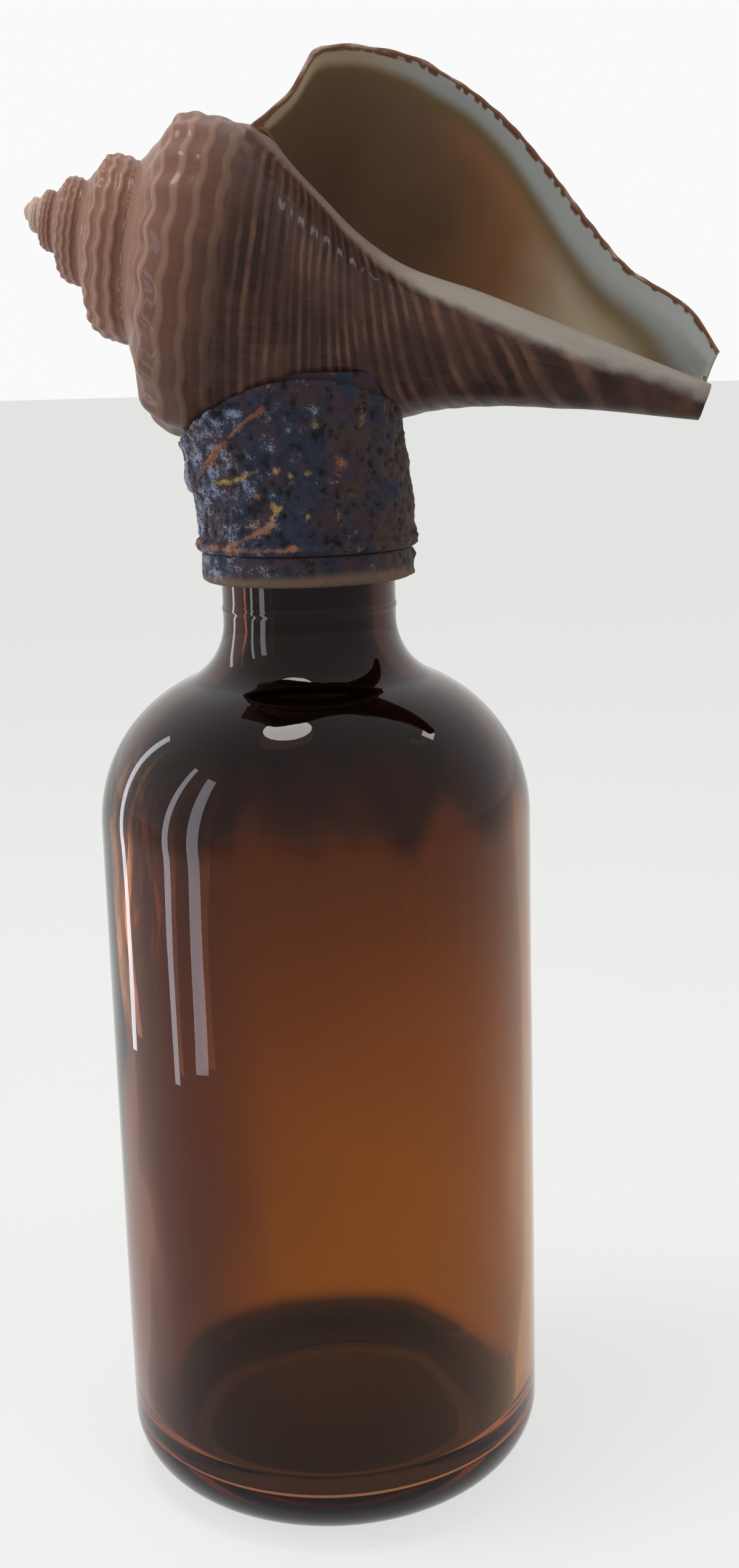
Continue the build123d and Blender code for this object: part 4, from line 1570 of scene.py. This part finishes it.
@dataclass
class Wrap:
    """The thin sheet round cap and column: rolled hem, overlap on the left, arched top.

    The hem is a roll about its middle (radius, height), over an arc in degrees. The top
    edge is rounded by its insets from the outer face.
    """

    column: Column
    thickness: float = 0.78
    skirt: float = 14.32
    hem: float = 1.0
    hem_middle: Pair = (14.6, 138.42)
    hem_arc: tuple[float, float, int] = (-100, 60, 20)
    hem_ridge: float = 138.55
    hem_waver: float = 0.2
    hem_rub_and_sheen: float = 0.55
    cap_top: float = 145.92
    edge: float = 0.3
    edge_round: float = 0.08
    edge_insets: tuple[float, ...] = (0.12, 0.4, 0.68, 0.78)
    flap: float = 0.5
    flap_ends: Pair = (-128.0, -122.0)
    flap_step: Pair = (-0.25, 0.15)
    columns: int = 480
    rows: int = 92
    overlap: Crease = Crease((
        (-125, 145.9), (-100, 145.6), (-68.6, 145.7), (-48.4, 149.8), (-29.7, 153.2),
        (-17.6, 155.5), (-10.9, 156.8), (-4, 161.5)), Powder.BARE)
    relief: Relief = Relief(
        15.3,
        creases=(
            # copper along the overlap's edge: part powder, part painted highlight
            Crease(((-68.6, 145.7), (-48.4, 149.8), (-29.7, 153.2), (-17.6, 155.5), (-10.9, 156.8)),
                   Powder.COPPER, 0.2, 0.4),
            Crease(((-53, 146.7), (-28, 147.9), (-18, 149.0)), Powder.GOLD, 0.28, 0.5),
            Crease(((-18, 149.0), (-12.6, 149.8), (1.2, 152.3), (4.5, 150.6), (5.3, 147.8)),
                   Powder.BARE, 0.35, 0.4),
            # copper on the ridge that rises from the hem: part powder, part painted highlight
            Crease(((-39.7, 138.9), (-21.3, 140.9), (-13.8, 141.9)), Powder.COPPER, 0.25, 0.45),
            Crease(((-10.3, 144.0), (-15.7, 142.6)), Powder.GOLD, 0.15, 0.4),
            Crease(((-5.6, 142.7), (7, 144.0)), Powder.BARE, 0.3, 0.4),
            Crease(((41.8, 145.7), (46.1, 143.5), (36.3, 139.8)), Powder.BARE, 0.25, 0.4)),
        spots=(
            Spot(13.6, 154.6, 0.9, 0.35, Powder.GOLD), Spot(2.5, 142.8, 0.4, 0.15, Powder.GOLD),
            Spot(-9.5, 148.7, 0.6, 0.2, Powder.GOLD), Spot(-2.5, 148.2, 0.55, 0.2, Powder.GOLD),
            Spot(5.5, 148.4, 0.7, 0.25, Powder.GOLD), Spot(-13, 143.6, 0.9, 0.25, Powder.GOLD),
            Spot(-22, 145.6, 0.6, 0.15, Powder.COPPER), Spot(24, 149.6, 1.1, 0.2, Powder.COPPER),
            Spot(-0.6, 155.4, 0.7, 0.2), Spot(60, 141.0, 1.3, 0.5), Spot(84, 139.4, 0.9, 0.5),
            Spot(78, 144.5, 1.2, 0.4), Spot(88, 149.0, 1.0, 0.35), Spot(-84, 152.0, 1.2, 0.4)))

    def section(self, top: Array, hem: Array) -> Array:
        """Heights of the sheet's closed section, one column for each angle.

        The section runs up the outside of the hem and the column to the top edge and down
        the inner face again.

        Args:
            top: Height of the top edge at each angle.
            hem: Points (radius, height) of the rolled hem.

        Returns:
            Heights on a rows by angles grid.
        """
        start = hem[-1, 1] + 0.1
        below = top - self.edge
        level = np.ones(len(top))
        return np.concatenate([
            [level * self.cap_top, level * self.hem_middle[1]],
            np.repeat(hem[:, 1:], len(top), 1),
            start + (below - start) * np.linspace(0, 1, self.rows)[:, None],
            [top - self.edge_round, top, top - self.edge_round, below],
            self.cap_top + (below - self.cap_top) * np.linspace(0.8, 0, 5)[:, None],
            [level * self.cap_top]])

    def build(self, shell: BVHTree) -> bpy.types.Object:
        """Carries the section round the column, up to the arch or the shell's underside.

        The relief stands on the outer face alone, the overlap raises the sheet above its
        slanting edge, and copper goes on the hem: part rubbed powder, part painted highlight
        that is stronger on the left half.

        Args:
            shell: The shell's mesh.

        Returns:
            The sheet with its overlap.
        """
        angle = full_turn(self.columns)
        column = self.column
        limit = column.crown(column.lean + column.high * np.sin(angle))
        top = np.minimum(limit, column.under_shell(shell, angle, 0.0, column.crown_top))
        hem = arc(self.hem_middle, self.hem, *self.hem_arc)
        heights = self.section(top, hem)
        first = 2 + len(hem)
        body = first + self.rows
        inset = np.zeros(heights.shape)
        inset[body:body + len(self.edge_insets)] = np.array(self.edge_insets)[:, None]
        inset[body + len(self.edge_insets):-1] = self.thickness
        radius = column.radius(heights) - inset
        radius[2:first] = hem[:, :1]
        radius[[0, 1, -1]] = self.skirt
        centre = column.centre(heights)
        centre[[0, -1]] = 0
        spread = np.broadcast_to(angle, heights.shape)
        raised, marks = self.relief.at(spread, heights)
        _, side = self.overlap.distance(spread, heights, self.relief.radius)
        ends = smooth_step(spread, *np.radians(self.flap_ends))
        raised = raised + self.flap * smooth_step(side, *self.flap_step) * ends
        outside = np.zeros(heights.shape)
        outside[3:body + 2] = 1
        foot = smooth_step(heights, self.hem_middle[1] - 1.0, self.hem_middle[1] - 0.4)
        radius = radius + raised * outside * foot
        # copper on the hem: part rubbed powder, part painted highlight, stronger on the left half where
        # the light falls
        ridge = self.hem_ridge + self.hem_waver * np.sin(spread * 3)
        rubbed = bell(heights - ridge, self.hem_rub_and_sheen) * outside
        rubbed = rubbed * (0.15 + 0.8 * smooth_step(-spread, -0.25, 0.25))
        marks["copper"] = np.maximum(marks["copper"], rubbed)
        sheet = sewn("wrap_skin", [Patch(round_axis(radius, spread, heights, centre), marks)])
        sheet.data.materials.append(Patina(PatinaTone.SHEET).material())
        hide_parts("wrap_sheet", "wrap_flap")
        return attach(sheet, "stopper")


@dataclass
class Collar:
    """The stiff strip behind the wrap, whose level top edge shows on the right."""

    column: Column
    foot: float = 145.92
    top: float = 161.2
    outset: float = 0.8
    thickness: float = 0.8
    skin: float = 0.1
    columns: int = 300
    rows: int = 30
    inner_rows: int = 8
    relief: Relief = Relief(14.5, 0.05, 0.07, 0.03)

    def build(self, shell: BVHTree) -> bpy.types.Object:
        """Carries the strip's section round the column, up to the shell or its level edge.

        Args:
            shell: The shell's mesh.

        Returns:
            The strip.
        """
        angle = full_turn(self.columns)
        top = self.column.under_shell(shell, angle, self.outset, self.top)
        up, down = np.linspace(0, 1, self.rows), np.linspace(1, 0, self.inner_rows)
        share = np.concatenate([up, down, [0.0]])[:, None]
        heights = self.foot + (top - self.foot) * share
        inset = np.full(heights.shape, self.outset)
        inset[self.rows:-1] += self.thickness
        spread = np.broadcast_to(angle, heights.shape)
        raised, marks = self.relief.at(spread, heights)
        outside = np.zeros(heights.shape)
        outside[1:self.rows] = 1
        radius = self.column.radius(heights) - inset + raised * outside - self.skin * outside
        centre = self.column.centre(heights)
        strip = sewn("collar_strip", [Patch(round_axis(radius, spread, heights, centre), marks)])
        strip.data.materials.append(Patina(PatinaTone.COLLAR).material())
        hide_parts("inner_collar")
        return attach(strip, "stopper")


class LampUse(Enum):
    """What a lamp does: it lights, it shows as a reflection, or both."""

    BOTH = "both"
    LIGHT = "light"
    REFLECTION = "reflection"


@dataclass(frozen=True)
class Lamp:
    """A rectangular or oval soft lamp that points at the bottle and isn't seen itself."""

    name: str
    place: tuple[float, float, float]
    size: Pair
    glow: float
    colour: tuple[float, float, float] = (1.0, 1.0, 1.0)
    shape: str = "RECTANGLE"
    use: LampUse = LampUse.BOTH
    aim: float = 120.0

    def build(self) -> None:
        """Places the lamp, which points at the axis at the height aim.

        Its glow is the radiance of its face, where 1 is white.
        """
        data = bpy.data.lights.new(self.name, "AREA")
        data.shape = self.shape
        data.size, data.size_y = self.size[0] * MM, self.size[1] * MM
        area = data.size * data.size_y * (1.0 if self.shape == "RECTANGLE" else np.pi / 4)
        data.energy = self.glow * np.pi * area
        data.color = self.colour
        lamp = bpy.data.objects.new(self.name, data)
        bpy.context.scene.collection.objects.link(lamp)
        lamp.location = Vector(self.place) * MM
        towards = Vector((0, 0, self.aim)) - Vector(self.place)
        lamp.rotation_euler = towards.to_track_quat("-Z", "Y").to_euler()
        lamp.visible_camera = False
        lamp.visible_diffuse = self.use is not LampUse.REFLECTION
        lamp.visible_glossy = self.use is not LampUse.LIGHT


@dataclass
class Studio:
    """Floor, soft lamps, white surroundings and the camera.

    Lamps are placed in millimetres. Angles of the camera are in degrees, its pitch down
    and its roll clockwise, and its lens is in millimetres on a 36 mm long side.
    """

    floor_half: float = 20.0
    floor_glow: float = 0.72
    floor_mottle: float = 60.0
    camera_place: tuple[float, float, float] = (7.764, -260.811, 160.661)
    camera_pitch: float = 12.426
    camera_roll: float = 1.604
    lens: float = 42.567
    long_side: float = 36.0
    near: float = 0.01
    ambient: float = 0.45
    lamps: tuple[Lamp, ...] = (
        Lamp("overhead", (-98, -37, 708), (190, 190), 16, shape="ELLIPSE"),
        Lamp("window_left", (-182, 83, 120), (16, 236), 6, COOL, use=LampUse.REFLECTION),
        Lamp("window_middle", (-186, -40, 120), (12, 236), 8, COOL, use=LampUse.REFLECTION),
        Lamp("window_front", (-176, -96, 120), (26, 236), 7, COOL, use=LampUse.REFLECTION),
        Lamp("window_far", (-420, -60, 260), (200, 400), 3.2, COOL, use=LampUse.LIGHT),
        Lamp("fill_right", (500, -500, 420), (500, 500), 1.6, use=LampUse.LIGHT),
        Lamp("spark_right", (420, 110, 560), (60, 60), 9, use=LampUse.REFLECTION))

    def build(self) -> None:
        """Makes the floor, the lamps, the world and the camera."""
        self.floor()
        for lamp in self.lamps:
            lamp.build()
        self.world()
        self.camera()

    @staticmethod
    def seen(paint: Paint) -> Value:
        """1 for rays that show the surroundings: from the camera, a gloss or through glass.

        Args:
            paint: The material or world that asks.

        Returns:
            1 for such a ray and 0 for one that only lights.
        """
        rays = paint.node("ShaderNodeLightPath").outputs
        direct = Value(paint, rays["Is Camera Ray"])
        return direct.larger(Value(paint, rays["Is Glossy Ray"])).larger(
            Value(paint, rays["Is Transmission Ray"]))

    def floor(self) -> None:
        """A plain pale floor that keeps the object's shadow."""
        line = np.linspace(-self.floor_half, self.floor_half, 3) / MM
        x, y = np.meshgrid(line, line)
        floor = sewn("floor", [Patch(np.stack([x, y, np.zeros_like(x)], -1), {})], False)
        paint = Paint(bpy.data.materials.new("pale_floor"))
        mottle = paint.noise(self.floor_mottle)
        pale = paint.mix(mottle, tint(244, 243, 240), tint(240, 239, 237))
        paint.surface(Base_Color=pale, Roughness=1.0, Specular_IOR_Level=0.0)
        light = paint.node("ShaderNodeEmission", None, {"Color": tint(246, 246, 245), "Strength": 1.0})
        blend = paint.node("ShaderNodeMixShader", None, {
            0: self.seen(paint) * self.floor_glow, 1: paint.shader.outputs[0], 2: light.outputs[0]})
        paint.tree.links.new(blend.outputs[0], paint.output.inputs["Surface"])
        floor.data.materials.append(paint.owner)
        floor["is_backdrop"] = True

    def world(self) -> None:
        """White where it is seen, and dimmer where it only lights."""
        world = bpy.data.worlds.new("white_room")
        bpy.context.scene.world = world
        paint = Paint(world)
        strength = self.seen(paint) * (1 - self.ambient) + self.ambient
        for key, value in {"Color": tint(250, 250, 250), "Strength": strength}.items():
            paint.feed(paint.shader.inputs[key], value)

    def camera(self) -> None:
        """The camera at the photograph's viewing angle, a little rolled."""
        pitch, roll = np.radians(self.camera_pitch), np.radians(self.camera_roll)
        ahead = Vector((0, np.cos(pitch), -np.sin(pitch)))
        level, upright = Vector((1, 0, 0)), Vector((0, np.sin(pitch), np.cos(pitch)))
        right = level * np.cos(roll) - upright * np.sin(roll)
        up = level * np.sin(roll) + upright * np.cos(roll)
        data = bpy.data.cameras.new("camera")
        data.sensor_width, data.lens, data.clip_start = self.long_side, self.lens, self.near
        camera = bpy.data.objects.new("camera", data)
        bpy.context.scene.collection.objects.link(camera)
        turn = Matrix((right, up, -ahead)).transposed().to_4x4()
        camera.matrix_world = Matrix.Translation(Vector(self.camera_place) * MM) @ turn
        bpy.context.scene.camera = camera


def corners() -> list[list[float]]:
    """The whole object's lowest and highest corner as plain numbers."""
    return [list(map(float, corner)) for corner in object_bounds()]


def main() -> None:
    """Builds the pieces, the studio and the camera."""
    logging.basicConfig(level=logging.INFO, format="%(message)s")
    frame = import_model()
    scene = bpy.context.scene
    scene.view_settings.view_transform = "Standard"
    Studio().build()
    shell = WhelkShell().build()
    log.info("built %s", shell.name)
    shape = bmesh.new()
    shape.from_mesh(shell.data)
    underside = BVHTree.FromBMesh(shape)
    shape.free()
    column = Column()
    pieces = (Bottle().build, ScrewCap().build, lambda: Wrap(column).build(underside),
              lambda: Collar(column).build(underside))
    for build in pieces:
        piece = build()
        log.info("built %s: %d faces", piece.name, len(piece.data.polygons))
    for node, finish in (("cone_liner", LINER_WHITE), ("clay_core", PUTTY)):
        mesh = frame["nodes"][node].data
        mesh.materials.clear()
        mesh.materials.append(finish.material())
        log.info("dressed %s", node)


if __name__ == "__main__":
    main()
